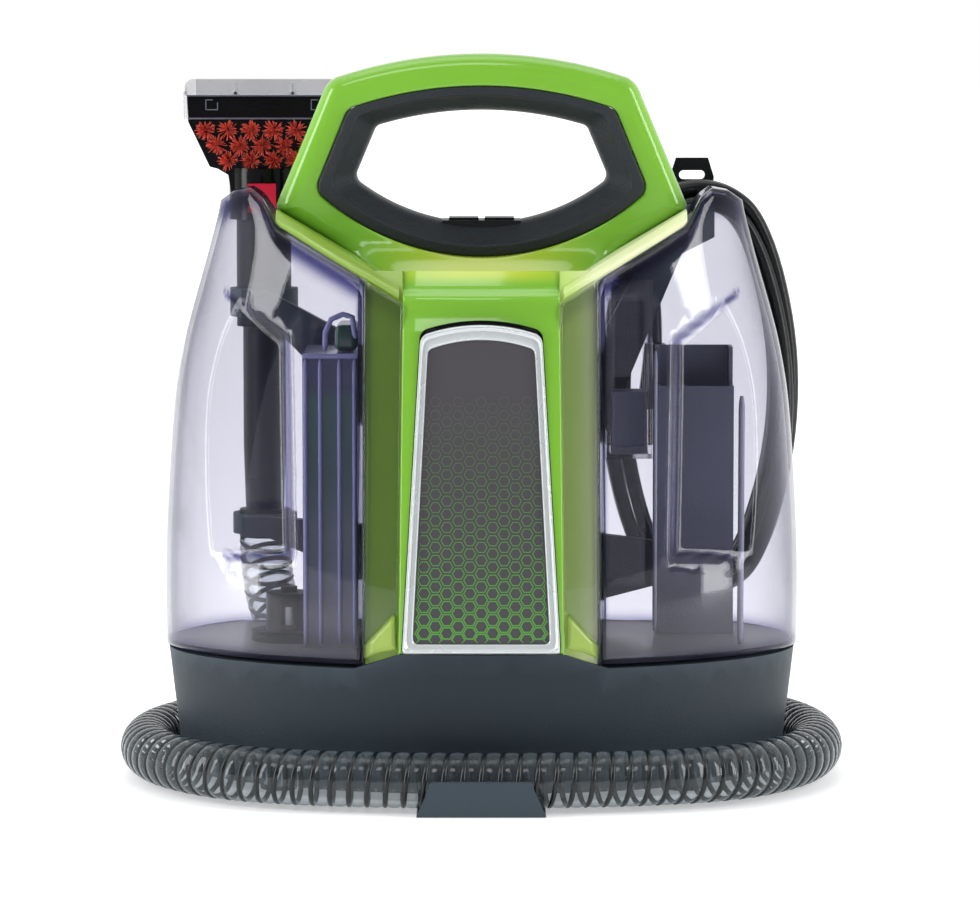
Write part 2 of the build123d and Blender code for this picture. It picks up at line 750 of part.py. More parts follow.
TUFT_ROWS = [(306.0, [-27.9, -16.8, -5.6, 5.6, 16.8, 27.9]), (298.4, [-22.3, -11.2, 0.0, 11.2, 22.3]),
             (291.0, [-16.8, -5.6, 5.6, 16.8])]
with BuildPart() as tool_bristles:
    for z, offsets in TUFT_ROWS:
        for offset_x in offsets:
            with BuildSketch(at_y(WAND_Y - 10.1)):
                with Locations((WAND_X + offset_x, z)):
                    Circle(3.2)
            extrude(amount=8)

with BuildPart() as tool_button:
    add(block((WAND_X - 7, WAND_X + 7), (WAND_Y - 20.5, WAND_Y - 16), (266, 280)))

with BuildPart() as spray_nozzle:
    with BuildSketch(at_y(WAND_Y + 14)):
        with Locations((WAND_X, 296)):
            Circle(4)
            Circle(0.8, mode=Mode.SUBTRACT)
    extrude(amount=5.9)

# ---- hose ------------------------------------------------------------------------------
HOSE_ROUTE = [
    (-2, 105.5, HOSE_Z), (-95, 105.5, HOSE_Z), (-160, 40, HOSE_Z), (-160, -50, HOSE_Z),
    (-95, -115, HOSE_Z), (95, -115, HOSE_Z), (160, -50, HOSE_Z), (160, 50, HOSE_Z),
    (98, 123, HOSE_Z), (8, 134, HOSE_Z), (-46, 132, 19), (-90, 112, 41), (-108, 93, 70), (-108, 86, 104),
]
hose = tube(HOSE_ROUTE, HOSE_D, "hose")

with BuildPart() as rear_port:
    add(block((-1.9, 34), (80, 117), (0.6, 29)))
    fillet(rear_port.edges().filter_by(Axis.X).group_by(Axis.Y)[-1], 8)
    add(block((12, 34), (80, 108), (20, 56)))
    with BuildSketch(Plane.XY.offset(BASE_Z[0])):
        Ellipse(BASE_LOW[0] + 0.1, BASE_LOW[1] + 0.1)
    with BuildSketch(Plane.XY.offset(BASE_Z[1])):
        Ellipse(BASE_TOP[0] + 0.1, BASE_TOP[1] + 0.1)
    loft(mode=Mode.SUBTRACT)
    add(block((-10, 40), (70, 91), (-5, 4)), mode=Mode.SUBTRACT)

# ---- mains cord, hank and hooks -----------------------------------------------------------
with BuildPart() as strain_relief:
    with BuildSketch(Plane.YZ.offset(34.1)):
        with Locations((98.5, 46)):
            Circle(6.5)
    with BuildSketch(Plane.YZ.offset(57.9)):
        with Locations((98.5, 46)):
            Circle(4.6)
    loft()

LEAD_ROUTE = [(58, 98.5, 46), (80, 98.5, 46), (103, 98, 58), (121, 97, 78), (133, 96, 101)]
cord_lead = tube(LEAD_ROUTE, CORD_D, "cord lead")
TAIL_ROUTE = [(86, 90, 200), (85.4, 90, 222), (80, 90, 243)]
cord_tail = tube(TAIL_ROUTE, CORD_D, "cord tail")


def hank_face(half_width, half_height, end):
    """A flat oval of four tangent arcs round the hank's centre, its ends of radius end."""
    side = (half_width**2 + (half_height - end) ** 2 - end**2) / (2 * (half_width - end))
    lean = math.atan2(half_height - end, side - half_width)
    x, z = end * math.cos(lean), half_height - end + end * math.sin(lean)
    corners = [(x, -z), (x, z), (-x, z), (-x, -z)]
    middles = [(half_width, 0), (0, half_height), (-half_width, 0), (0, -half_height)]
    arcs = []
    for k in range(4):
        through = [corners[k], middles[k], corners[(k + 1) % 4]]
        arcs.append(Edge.make_three_point_arc(*[Vector(HANK_X + u, HANK_Z + v, 0) for u, v in through]))
    return Face(Wire(arcs))


with BuildPart() as cord_hank:
    with BuildSketch(at_y(HANK_Y[1])):
        add(hank_face(*HANK_OUTER))
        add(hank_face(*HANK_INNER), mode=Mode.SUBTRACT)
    extrude(amount=HANK_Y[1] - HANK_Y[0])

with BuildPart() as plug_body:
    with BuildSketch(Plane.XY.offset(168)):
        with Locations((86, 90)):
            RectangleRounded(17, 24, 5)
    with BuildSketch(Plane.XY.offset(199.9)):
        with Locations((86, 90)):
            RectangleRounded(10, 13, 4)
    loft()

with BuildPart() as plug_blades:
    with BuildSketch(Plane.XY.offset(150)):
        with Locations((86, 90)):
            with GridLocations(0, 12.7, 1, 2):
                Rectangle(6.3, 1.6)
    extrude(amount=17.9)

with BuildPart() as cord_hook_arm:
    with BuildSketch(at_y(69.5)):
        Polygon((COLUMN_HALF + 0.2, 150), (COLUMN_HALF + 0.2, 196), (92, 268), (114, 272),
                (114, 254), (98, 246), (72, 184), align=None)
        with Locations((HOOK_X, HOOK_Z)):
            Circle(4.06, mode=Mode.SUBTRACT)
    extrude(amount=8)

with BuildPart() as cord_hook_upper:
    with BuildSketch(at_y(112)):
        with Locations((HOOK_X, HOOK_Z)):
            Circle(4)
    extrude(amount=51.5)
    with BuildSketch(at_y(114)):
        with BuildLine():
            Polyline((HOOK_X - 8, HOOK_Z - 7), (HOOK_X + 8, HOOK_Z - 7), (HOOK_X + 11, HOOK_Z + 20),
                     (HOOK_X + 8, HOOK_Z + 29.5), (HOOK_X - 8, HOOK_Z + 29.5), (HOOK_X - 11, HOOK_Z + 20),
                     close=True)
        make_face()
        with Locations((HOOK_X, HOOK_Z + 21)):
            SlotOverall(13, 4.5, mode=Mode.SUBTRACT)
    extrude(amount=4)

with BuildPart() as cord_hook_lower:
    with BuildSketch(at_y(69.5)):
        Polygon((COLUMN_HALF + 0.2, 74), (COLUMN_HALF + 0.2, 108), (104, 102), (116, 100),
                (116, 88), (100, 86), align=None)
    extrude(amount=8)
    with BuildSketch(at_y(112)):
        with Locations((HANK_X, 94.3)):
            Circle(4)
    extrude(amount=45)
    with BuildSketch(at_y(114)):
        Polygon((HANK_X - 8, 101), (HANK_X + 8, 101), (HANK_X + 11, 74), (HANK_X + 8, 66),
                (HANK_X - 8, 66), (HANK_X - 11, 74), align=None)
    extrude(amount=4)

PIECES = {
    "base_tub": base_tub, "base_floor_plate": base_floor_plate, "base_screws": base_screws,
    "rubber_feet": rubber_feet, "base_deck": base_deck, "hose_clip": hose_clip,
    "front_shell": front_shell, "rear_shell": rear_shell, "grip_ring": grip_ring,
    "switch_bezel": switch_bezel, "power_rocker": power_rocker, "heat_rocker": heat_rocker,
    "bezel": bezel, "badge_panel": badge_panel, "exhaust_grille": exhaust_grille,
    "motor_housing": motor_housing, "motor_stator": motor_stator, "motor_bearings": motor_bearings,
    "motor_rotor": motor_rotor, "fan_impeller": fan_impeller, "fan_cover": fan_cover,
    "suction_duct": suction_duct, "solution_pump": solution_pump, "solution_heater": solution_heater,
    "solution_tube": solution_tube, "valve_seat": valve_seat,
    "clean_tank_shell": clean_tank_shell, "clean_tank_cap": clean_tank_cap,
    "clean_valve_plunger": clean_valve_plunger, "clean_valve_spring": clean_valve_spring,
    "clean_tank_channel": clean_tank_channel,
    "dirty_tank_shell": dirty_tank_shell, "dirty_drain_cap": dirty_drain_cap,
    "dirty_tank_stack": dirty_tank_stack, "dirty_float_cage": dirty_float_cage, "dirty_float": dirty_float,
    "wand_grip": wand_grip, "wand_trigger": wand_trigger, "trigger_pin": trigger_pin,
    "wand_valve": wand_valve, "wand_neck": wand_neck,
    "wand_cuff": wand_cuff, "wand_holder_upper": wand_holder_upper, "wand_holder_lower": wand_holder_lower,
    "tool_body": tool_body, "tool_window": tool_window, "tool_bristles": tool_bristles,
    "tool_button": tool_button, "spray_nozzle": spray_nozzle,
    "hose": hose, "rear_port": rear_port, "strain_relief": strain_relief,
    "cord_lead": cord_lead, "cord_tail": cord_tail, "cord_hank": cord_hank,
    "plug_body": plug_body, "plug_blades": plug_blades, "cord_hook_lower": cord_hook_lower,
    "cord_hook_arm": cord_hook_arm, "cord_hook_upper": cord_hook_upper,
}

os.makedirs("parts", exist_ok=True)
for label, piece in PIECES.items():
    piece.part.label = label
    export_step(piece.part, f"parts/{label}.step")
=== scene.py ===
"""Looks of the portable spot extractor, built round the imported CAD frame."""
import json
import math
import random

import bmesh
import bpy
import numpy as np
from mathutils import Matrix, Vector


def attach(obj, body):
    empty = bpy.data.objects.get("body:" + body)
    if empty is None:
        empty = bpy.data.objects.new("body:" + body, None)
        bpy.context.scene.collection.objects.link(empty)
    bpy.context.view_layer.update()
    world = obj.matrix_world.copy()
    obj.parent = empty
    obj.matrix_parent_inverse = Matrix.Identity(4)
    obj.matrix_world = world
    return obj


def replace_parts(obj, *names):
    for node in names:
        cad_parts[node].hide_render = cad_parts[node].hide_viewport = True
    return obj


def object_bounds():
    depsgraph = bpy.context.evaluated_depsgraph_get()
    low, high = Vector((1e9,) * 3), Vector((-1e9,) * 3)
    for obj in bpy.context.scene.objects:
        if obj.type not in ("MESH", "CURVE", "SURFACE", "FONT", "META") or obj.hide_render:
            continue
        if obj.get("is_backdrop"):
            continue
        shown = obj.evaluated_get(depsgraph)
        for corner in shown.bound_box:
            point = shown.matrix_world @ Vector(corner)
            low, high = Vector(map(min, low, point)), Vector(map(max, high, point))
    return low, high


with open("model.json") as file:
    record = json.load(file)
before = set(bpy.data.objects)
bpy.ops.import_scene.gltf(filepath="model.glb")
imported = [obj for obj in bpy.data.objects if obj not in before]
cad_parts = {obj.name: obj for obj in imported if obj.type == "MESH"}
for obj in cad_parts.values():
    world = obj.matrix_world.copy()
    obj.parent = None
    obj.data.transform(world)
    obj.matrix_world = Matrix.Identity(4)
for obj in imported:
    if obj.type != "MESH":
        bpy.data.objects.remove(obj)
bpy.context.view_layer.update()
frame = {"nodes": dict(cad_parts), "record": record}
NODES = frame["nodes"]
MM = 0.001
random.seed(7)

# Height, half width and half depth of the body, as in the CAD, in millimetres.
STATIONS = [
    (62, 151.0, 95.0), (90, 151.5, 94.6), (115, 151.0, 93.0), (141, 149.5, 90.8),
    (165, 147.8, 87.8), (187, 145.8, 84.3), (212, 141.0, 79.0), (235, 134.4, 72.0),
    (248, 130.6, 65.5), (260, 127.4, 57.6),
    (270, 124.6, 50.0), (280, 122.6, 42.0), (291, 124.0, 34.6), (304, 134.0, 29.5), (348, 172.0, 21.5),
]
# The cowl leaves the body's outline above the tanks.
COWL = STATIONS[:7] + [
    (226, 137.4, 74.8), (235, 134.4, 70.5), (239, 133.0, 61.0), (243, 132.0, 49.0), (247, 131.0, 37.5),
    (251, 131.0, 29.5), (256, 132.0, 25.5), (266, 135.0, 24.0), (300, 150.0, 23.0), (348, 172.0, 21.5),
]


# ---- small tools -----------------------------------------------------------------
def smooth_table(stations, blur):
    """Half width and half depth every half millimetre of height, blurred so no band shows."""
    z = np.arange(stations[0][0], stations[-1][0], 0.5)
    st = np.array(stations, float)
    reach = np.arange(-3 * blur, 3 * blur + 0.5, 0.5)
    weight = np.exp(-(reach / blur) ** 2 / 2)
    weight /= weight.sum()
    out = []
    for k in (1, 2):
        line = np.interp(z, st[:, 0], st[:, k])
        pad = len(reach) // 2
        low = line[0] + (line[1] - line[0]) * np.arange(-pad, 0)
        high = line[-1] + (line[-1] - line[-2]) * np.arange(1, pad + 1)
        out.append(np.convolve(np.concatenate([low, line, high]), weight, "valid"))
    return z, out[0], out[1]


BODY_TABLE = smooth_table(STATIONS, 7.0)
COWL_TABLE = smooth_table(COWL, 1.6)


def half_width(z, table=BODY_TABLE):
    return np.interp(z, table[0], table[1])


def half_depth(z, table=BODY_TABLE):
    return np.interp(z, table[0], table[2])


def skin(x, z, inset=0.0, table=BODY_TABLE):
    """How far forward the body's skin is at x and z."""
    a, b = half_width(z, table) - inset, half_depth(z, table) - inset
    return b * np.sqrt(np.maximum(1 - (np.asarray(x) / a) ** 2, 0.0))


def arc(p, q, r, n=24):
    """Points on the circle through three points, from p through q to r."""
    (ax, ay), (bx, by), (cx, cy) = p, q, r
    d = 2 * (ax * (by - cy) + bx * (cy - ay) + cx * (ay - by))
    aa, bb, cc = ax**2 + ay**2, bx**2 + by**2, cx**2 + cy**2
    ux = (aa * (by - cy) + bb * (cy - ay) + cc * (ay - by)) / d
    uy = (aa * (cx - bx) + bb * (ax - cx) + cc * (bx - ax)) / d
    t0, t1, t2 = (math.atan2(y - uy, x - ux) for x, y in (p, q, r))
    while t1 < t0:
        t1 += 2 * math.pi
    while t2 < t0:
        t2 += 2 * math.pi
    if t1 > t2:
        t2 -= 2 * math.pi
    radius = math.hypot(ax - ux, ay - uy)
    turns = [t0 + (t2 - t0) * k / n for k in range(n + 1)]
    return [(ux + radius * math.cos(a), uy + radius * math.sin(a)) for a in turns]


def round_corners(points, corners, steps=8):
    """Rounds the corners of a closed outline that are named by place: {(x, z): radius}."""
    out, n = [], len(points)
    for i, p in enumerate(points):
        radius = next((r for c, r in corners.items() if math.dist(c, p) < 0.2), 0)
        if not radius:
            out.append(p)
            continue
        a, b = Vector(points[i - 1]) - Vector(p), Vector(points[(i + 1) % n]) - Vector(p)
        half = a.angle(b) / 2
        cut = radius / math.tan(half)
        centre = Vector(p) + (a.normalized() + b.normalized()).normalized() * radius / math.sin(half)
        start, end = Vector(p) + a.normalized() * cut, Vector(p) + b.normalized() * cut
        for k in range(steps + 1):
            d = (start.lerp(end, k / steps) - centre).normalized()
            out.append(tuple(centre + d * radius))
    return out


def ray_hits(outline, centre, angles):
    """Where rays from centre leave a star-shaped outline, and each edge's outward normal."""
    pts = np.array(outline, float)
    a, b = pts, np.roll(pts, -1, axis=0)
    found, normals = [], []
    for t in angles:
        d = np.array([math.cos(t), math.sin(t)])
        e = b - a
        den = d[0] * e[:, 1] - d[1] * e[:, 0]
        den = np.where(np.abs(den) < 1e-12, 1e-12, den)
        w = a - np.array(centre)
        along = (w[:, 0] * e[:, 1] - w[:, 1] * e[:, 0]) / den
        where = (w[:, 0] * d[1] - w[:, 1] * d[0]) / den
        ok = (where >= -1e-6) & (where <= 1 + 1e-6) & (along > 0)
        i = int(np.argmax(np.where(ok, along, -1)))
        found.append(np.array(centre) + d * along[i])
        n = np.array([e[i, 1], -e[i, 0]])
        n /= np.linalg.norm(n)
        normals.append(n if n @ d > 0 else -n)
    return np.array(found), np.array(normals)


def make_object(name, verts, faces, material, body, slot, smooth=True):
    """A new mesh piece, in millimetres, riding on a body."""
    mesh = bpy.data.meshes.new(name)
    mesh.from_pydata([tuple(float(c) * MM for c in v) for v in verts], [], faces)
    bm = bmesh.new()
    bm.from_mesh(mesh)
    bmesh.ops.remove_doubles(bm, verts=bm.verts, dist=1e-6)
    bmesh.ops.recalc_face_normals(bm, faces=bm.faces)
    bm.to_mesh(mesh)
    bm.free()
    for p in mesh.polygons:
        p.use_smooth = smooth
    obj = bpy.data.objects.new(name, mesh)
    bpy.context.scene.collection.objects.link(obj)
    obj.data.materials.append(material)
    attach(obj, body)
    return obj


def grid_faces(rows, cols, closed_rows=False, closed_cols=False, start=0):
    """Quads of a grid of rows by cols points stored row by row."""
    out = []
    for i in range(rows if closed_rows else rows - 1):
        for j in range(cols if closed_cols else cols - 1):
            i2, j2 = (i + 1) % rows, (j + 1) % cols
            here, there = start + i * cols, start + i2 * cols
            out.append((here + j, here + j2, there + j2, there + j))
    return out


def soft_edges(obj, width, segments=3, angle=35):
    """Rounds the hard edges of a piece and shades it smooth."""
    bevel = obj.modifiers.new("edges", "BEVEL")
    bevel.width, bevel.segments, bevel.limit_method = width * MM, segments, "ANGLE"
    bevel.angle_limit = math.radians(angle)
    bevel.harden_normals = False
    for p in obj.data.polygons:
        p.use_smooth = True
    smooth = obj.modifiers.new("smooth", "WEIGHTED_NORMAL")
    smooth.keep_sharp = True
    return obj


# ---- materials -------------------------------------------------------------------
def feed(tree, node, inputs):
    """Sets each input of a node to a plain value, or links it to another node's output."""
    for name, value in dict(inputs).items():
        if isinstance(value, bpy.types.NodeSocket):
            tree.links.new(value, node.inputs[name])
        else:
            node.inputs[name].default_value = value


def add_node(tree, kind, inputs=(), **settings):
    """A new shader node, with its inputs and its own settings."""
    node = tree.nodes.new("ShaderNode" + kind)
    for name, value in settings.items():
        setattr(node, name, value)
    feed(tree, node, inputs)
    return node


def new_material(name):
    """A material, its node tree and its main shader."""
    m = bpy.data.materials.new(name)
    m.use_nodes = True
    return m, m.node_tree, m.node_tree.nodes["Principled BSDF"]


def noise(tree, coords, scale, detail):
    return add_node(tree, "TexNoise", {"Vector": coords, "Scale": scale, "Detail": detail}).outputs["Fac"]


def maths(tree, operation, *values):
    return add_node(tree, "Math", dict(enumerate(values)), operation=operation).outputs["Value"]


def carried(tree, value, start=(0, 1), end=(0, 1), kind="LINEAR"):
    """A value carried from one range to another."""
    limits = dict(zip(("From Min", "From Max", "To Min", "To Max"), (*start, *end)))
    return add_node(tree, "MapRange", {"Value": value, **limits}, interpolation_type=kind).outputs["Result"]


def mixed(tree, share, first, second):
    return add_node(tree, "MixRGB", {"Fac": share, "Color1": first, "Color2": second}).outputs["Color"]


def bumped(tree, height, strength, distance):
    inputs = {"Height": height, "Strength": strength, "Distance": distance}
    return add_node(tree, "Bump", inputs).outputs["Normal"]


def along_axis(tree, axis, start, end=(0, 1), space="Object", kind="LINEAR"):
    """A value that changes between two places on an axis, and the node that splits the place."""
    split = add_node(tree, "SeparateXYZ", {0: add_node(tree, "TexCoord").outputs[space]})
    return carried(tree, split.outputs[axis], start, end, kind), split


def plastic(name, colour, rough=0.4, grain=(900, 0.05), vary=0.06, coat=0.0, metallic=0.0, wear=0.0,
            vary_scale=18.0, rough_vary=0.08, specular=0.5):
    """A moulded surface: fine grain, slow change in colour and gloss, optional edge wear."""
    m, tree, bsdf = new_material(name)
    coords = add_node(tree, "TexCoord").outputs["Object"]
    slow = noise(tree, coords, vary_scale, 4)
    ramp = add_node(tree, "ValToRGB", {"Fac": slow})
    for element, place, change in zip(ramp.color_ramp.elements, (0.3, 0.7), (-vary, vary)):
        element.position = place
        element.color = (*[min(1, c * (1 + change)) for c in colour], 1)
    shade = ramp.outputs["Color"]
    if wear:
        edge = carried(tree, add_node(tree, "NewGeometry").outputs["Pointiness"], (0.52, 0.62))
        shade = mixed(tree, edge, shade, (*[min(1, c * 1.8 + wear) for c in colour], 1))
    rough_range = (max(0.02, rough - rough_vary), min(1, rough + rough_vary))
    feed(tree, bsdf, {
        "Base Color": shade,
        "Roughness": carried(tree, slow, end=rough_range),
        "Normal": bumped(tree, noise(tree, coords, grain[0], 3), grain[1], 0.0006),
        "Metallic": metallic,
        "Coat Weight": coat,
        "Coat Roughness": 0.06,
        "Specular IOR Level": specular,
    })
    return m


def clear(name, tint, edge_tint, body_fac=0.03, edge_fac=0.85, power=5.0, gloss=0.03, grain=0.02,
          band_shade_tint=None):
    """Clear moulded plastic: see-through face on, tinted where it is seen along the wall.

    The last argument is a painted shade: a darker tint that the mesh's own point attribute brings in at
    lips and folded corners, in place of the dark bands that refraction gives there.
    """
    m, tree, bsdf = new_material(name)
    ripple = noise(tree, add_node(tree, "TexCoord").outputs["Object"], 30, 2)
    normal = bumped(tree, ripple, grain, 0.004)
    facing = add_node(tree, "LayerWeight", {"Blend": 0.5}).outputs["Facing"]
    share = carried(tree, maths(tree, "POWER", facing, power), end=(body_fac, edge_fac))
    reflection = carried(tree, maths(tree, "POWER", facing, 5), end=(0.035, 0.75))

    def attribute(word):
        return add_node(tree, "Attribute", attribute_name=word).outputs["Fac"]

    # Painted shade: the point attribute darkens the see-through tint towards the last argument's colour.
    deep = (*(band_shade_tint or [c * 0.9 for c in tint]), 1)
    shade = mixed(tree, attribute("thick") if band_shade_tint else ripple, (*tint, 1), deep)
    if band_shade_tint:
        shade = mixed(tree, attribute("olive"), shade, (0.34, 0.46, 0.10, 1))
    feed(tree, bsdf, {"Base Color": (*edge_tint, 1), "Roughness": 0.12, "Normal": normal})
    through = add_node(tree, "BsdfTransparent", {"Color": shade}).outputs["BSDF"]
    shine = add_node(tree, "BsdfGlossy", {"Roughness": gloss, "Normal": normal}).outputs["BSDF"]
    wall = add_node(tree, "MixShader", {"Fac": share, 1: through, 2: bsdf.outputs["BSDF"]})
    final = add_node(tree, "MixShader", {"Fac": reflection, 1: wall.outputs["Shader"], 2: shine})
    feed(tree, tree.nodes["Material Output"], {"Surface": final.outputs["Shader"]})
    return m


MAT = {
    "base_plastic": plastic("slate_texture", (0.022, 0.033, 0.043), 0.50, (1400, 0.35), 0.10,
                            wear=0.006, specular=0.3),
    "green_gloss": plastic("green_gloss", (0.205, 0.49, 0.042), 0.17, (500, 0.02), 0.03,
                           coat=0.45, specular=0.35),
    # A darker copy of the green for the flanks and shoulders: painted shade, with a painted highlight added
    # along x further down.
    "green_flank": plastic("green_flank", (0.13, 0.25, 0.03), 0.22, (500, 0.02), 0.06, coat=0.1,
                           specular=0.35),
    "green_foot": plastic("green_foot", (0.36, 0.52, 0.09), 0.25, (500, 0.02), 0.06, coat=0.2,
                          specular=0.4),
    "soft_grip": plastic("soft_grip", (0.014, 0.019, 0.024), 0.48, (1700, 0.7), 0.14, wear=0.004,
                         specular=0.35),
    "silver_trim": plastic("silver_paint", (0.70, 0.74, 0.76), 0.28, (1200, 0.06), 0.04,
                           metallic=0.35, coat=0.2),
    "badge_print": plastic("badge_grey", (0.078, 0.073, 0.082), 0.45, (900, 0.05), 0.04, specular=0.15),
    "black_plastic": plastic("black_plastic", (0.006, 0.007, 0.009), 0.38, (1300, 0.25), 0.2, specular=0.2),
    "black_gloss": plastic("black_gloss", (0.003, 0.003, 0.004), 0.12, (600, 0.03), 0.2, specular=0.2),
    "red_plastic": plastic("red_plastic", (0.62, 0.012, 0.04), 0.22, (700, 0.05), 0.06, coat=0.2),
    "bristle_red": plastic("bristle_red", (1.0, 0.15, 0.11), 0.45, (900, 0.2), 0.2, vary_scale=160),
    "cord_rubber": plastic("cord_rubber", (0.006, 0.007, 0.008), 0.30, (1100, 0.15), 0.2, specular=0.3),
    "rubber_black": plastic("rubber_black", (0.015, 0.015, 0.015), 0.8, (1300, 0.4), 0.15, specular=0.3),
    "steel": plastic("steel", (0.55, 0.55, 0.56), 0.3, (1500, 0.1), 0.06, metallic=1.0),
    "copper_steel": plastic("laminations", (0.40, 0.27, 0.18), 0.35, (1500, 0.4), 0.15, metallic=1.0),
    "brass": plastic("brass", (0.72, 0.55, 0.25), 0.25, (1500, 0.08), 0.05, metallic=1.0),
    "grey_plastic": plastic("grey_plastic", (0.13, 0.14, 0.19), 0.40, (1200, 0.2), 0.08, specular=0.3),
    # The tanks carry painted shade: darker purple bands at the lip, seam corner, recess rim and foot.
    "tank_clear": clear("tank_clear", (0.905, 0.905, 0.935), (0.045, 0.045, 0.13), edge_fac=0.92,
                        power=3.4, band_shade_tint=(0.22, 0.22, 0.42)),
    "tank_floor": clear("tank_floor", (0.30, 0.30, 0.36), (0.03, 0.03, 0.05), 0.45, 0.9, 2.0, 0.5),
    "clear_plastic": clear("clear_plastic", (0.93, 0.93, 0.94), (0.25, 0.25, 0.28), 0.06, 0.7, 2.5),
    "hose_plastic": clear("hose_film", (0.86, 0.89, 0.91), (0.20, 0.25, 0.28), 0.10, 0.8, 2.2, 0.05, 0.35),
    "hose_rib": plastic("hose_rib", (0.007, 0.011, 0.014), 0.25, (900, 0.1), 0.2, specular=0.45),
}


def tint_by_place(material, axis, stops, share=1.0, fade=None):
    """Colours a surface along one object axis: stops are (metres, colour). fade narrows it about x = 0."""
    tree = material.node_tree
    bsdf = tree.nodes["Principled BSDF"]
    low, high = stops[0][0], stops[-1][0]
    where, split = along_axis(tree, axis, (low, high))
    ramp = add_node(tree, "ValToRGB", {"Fac": where})
    ramp.color_ramp.interpolation = "EASE"
    elements = ramp.color_ramp.elements
    for _ in stops[2:]:
        elements.new(0.5)
    for element, (at, colour) in zip(elements, stops):
        element.position = (at - low) / (high - low)
        element.color = colour if len(colour) == 4 else (*colour, 1)
    amount = maths(tree, "MULTIPLY", ramp.outputs["Alpha"], share)
    if fade:
        side = maths(tree, "ABSOLUTE", split.outputs["X"])
        amount = maths(tree, "MULTIPLY", amount, carried(tree, side, fade, (1, 0), "SMOOTHSTEP"))
    old = bsdf.inputs["Base Color"].links[0].from_socket
    feed(tree, bsdf, {"Base Color": mixed(tree, amount, old, ramp.outputs["Color"])})


MAT["tank_channel"] = plastic("channel_teal", (0.030, 0.085, 0.095), 0.18, (300, 0.05), 0.15, coat=0.4)
tint_by_place(MAT["tank_channel"], "Z", [(0.066, (0.16, 0.16, 0.24)), (0.115, (0.10, 0.13, 0.17)),
                                         (0.150, (0.028, 0.085, 0.095)), (0.180, (0.035, 0.11, 0.105)),
                                         (0.190, (0.045, 0.05, 0.13)), (0.203, (0.05, 0.05, 0.14))], 0.9)
# Painted highlight: a yellow-green band on the green just above the cowl's lip, strongest near the middle.
tint_by_place(MAT["green_gloss"], "Z", [(0.2370, (0.53, 0.64, 0.05, 0.0)), (0.2430, (0.53, 0.64, 0.05, 1)),
                                        (0.2530, (0.47, 0.62, 0.05, 1)), (0.2680, (0.4, 0.6, 0.05, 0))],
              0.85, fade=(0.010, 0.062))
# Painted light on the flanks and shoulders: dark green on the left side, a pale yellow-green painted
# highlight on the right side.
tint_by_place(MAT["green_flank"], "X", [(-0.054, (0.27, 0.43, 0.06)), (0.030, (0.30, 0.50, 0.07)),
                                        (0.040, (0.60, 0.80, 0.24)), (0.054, (0.88, 0.95, 0.55))], 0.9)

# ---- camera ----------------------------------------------------------------------
cam_data = bpy.data.cameras.new("camera")
cam_data.lens, cam_data.sensor_width = 164.9, 36.0
cam_data.clip_start, cam_data.clip_end = 0.05, 30
camera = bpy.data.objects.new("camera", cam_data)
camera.location = (0.004, -2.138, 0.355)
camera.rotation_euler = (math.radians(90 - 5.35), 0, 0)
bpy.context.scene.collection.objects.link(camera)
bpy.context.scene.camera = camera


# ---- hose and mains cord -----------------------------------------------------------
def nurbs(name, points):
    """A smooth open line with these control points, in millimetres."""
    data = bpy.data.curves.new(name, "CURVE")
    data.dimensions = "3D"
    data.resolution_u = 12
    line = data.splines.new("NURBS")
    line.points.add(len(points) - 1)
    for p, co in zip(line.points, points):
        p.co = (*[c * MM for c in co], 1)
    line.order_u = 3
    line.use_endpoint_u = True
    obj = bpy.data.objects.new(name, data)
    bpy.context.scene.collection.objects.link(obj)
    return obj


def sampled(points, step):
    """Evenly spaced points, in metres, along the NURBS line of these control points."""
    guide = nurbs("guide", points)
    bpy.context.view_layer.update()
    mesh = bpy.data.meshes.new_from_object(guide)
    raw = np.array([tuple(v.co) for v in mesh.vertices])
    bpy.data.objects.remove(guide)
    lengths = np.concatenate([[0], np.cumsum(np.linalg.norm(np.diff(raw, axis=0), axis=1))])
    count = max(2, int(round(lengths[-1] / step)))
    at = np.linspace(0, lengths[-1], count + 1)
    return np.stack([np.interp(at, lengths, raw[:, k]) for k in range(3)], 1), lengths[-1]


def frames_along(points):
    """Tangent and two normals at each point, turning as little as possible."""
    tangents = np.gradient(points, axis=0)
    tangents /= np.linalg.norm(tangents, axis=1)[:, None]
    normal = np.cross(tangents[0], (0, 0, 1.0) if abs(tangents[0][2]) < 0.9 else (1.0, 0, 0))
    normal /= np.linalg.norm(normal)
    out = []
    for t in tangents:
        normal = normal - t * (normal @ t)
        normal /= np.linalg.norm(normal)
        out.append((t, normal.copy(), np.cross(t, normal)))
    return out


HOSE_Z = 14.4
HOSE_ROUTE = [
    (-2, 105.5, HOSE_Z), (-95, 105.5, HOSE_Z), (-160, 40, HOSE_Z), (-160, -50, HOSE_Z),
    (-95, -115, HOSE_Z), (95, -115, HOSE_Z), (160, -50, HOSE_Z), (160, 50, HOSE_Z),
    (98, 123, HOSE_Z), (8, 134, HOSE_Z), (-46, 132, 19), (-90, 112, 41), (-108, 93, 70), (-108, 86, 104),
]
HOSE_PITCH = 8.3
hose_line, _ = sampled(HOSE_ROUTE, HOSE_PITCH / 8 * MM)
verts = []
for i, (p, (t, n, b)) in enumerate(zip(hose_line, frames_along(hose_line))):
    for k in range(28):
        turn = 2 * math.pi * k / 28
        phase = (i / 8 + turn / (2 * math.pi)) % 1.0
        radius = 11.7 + 1.15 * math.sin(math.pi * phase) ** 0.7
        d = n * math.cos(turn) + b * math.sin(turn)
        verts.append((p + d * radius * MM) / MM)
hose_film = make_object("hose_film", verts, grid_faces(len(hose_line), 28, closed_cols=True),
                        MAT["hose_plastic"], "housing", "hose_plastic")
verts, ring = [], 8
fine_line, _ = sampled(HOSE_ROUTE, HOSE_PITCH / 22 * MM)
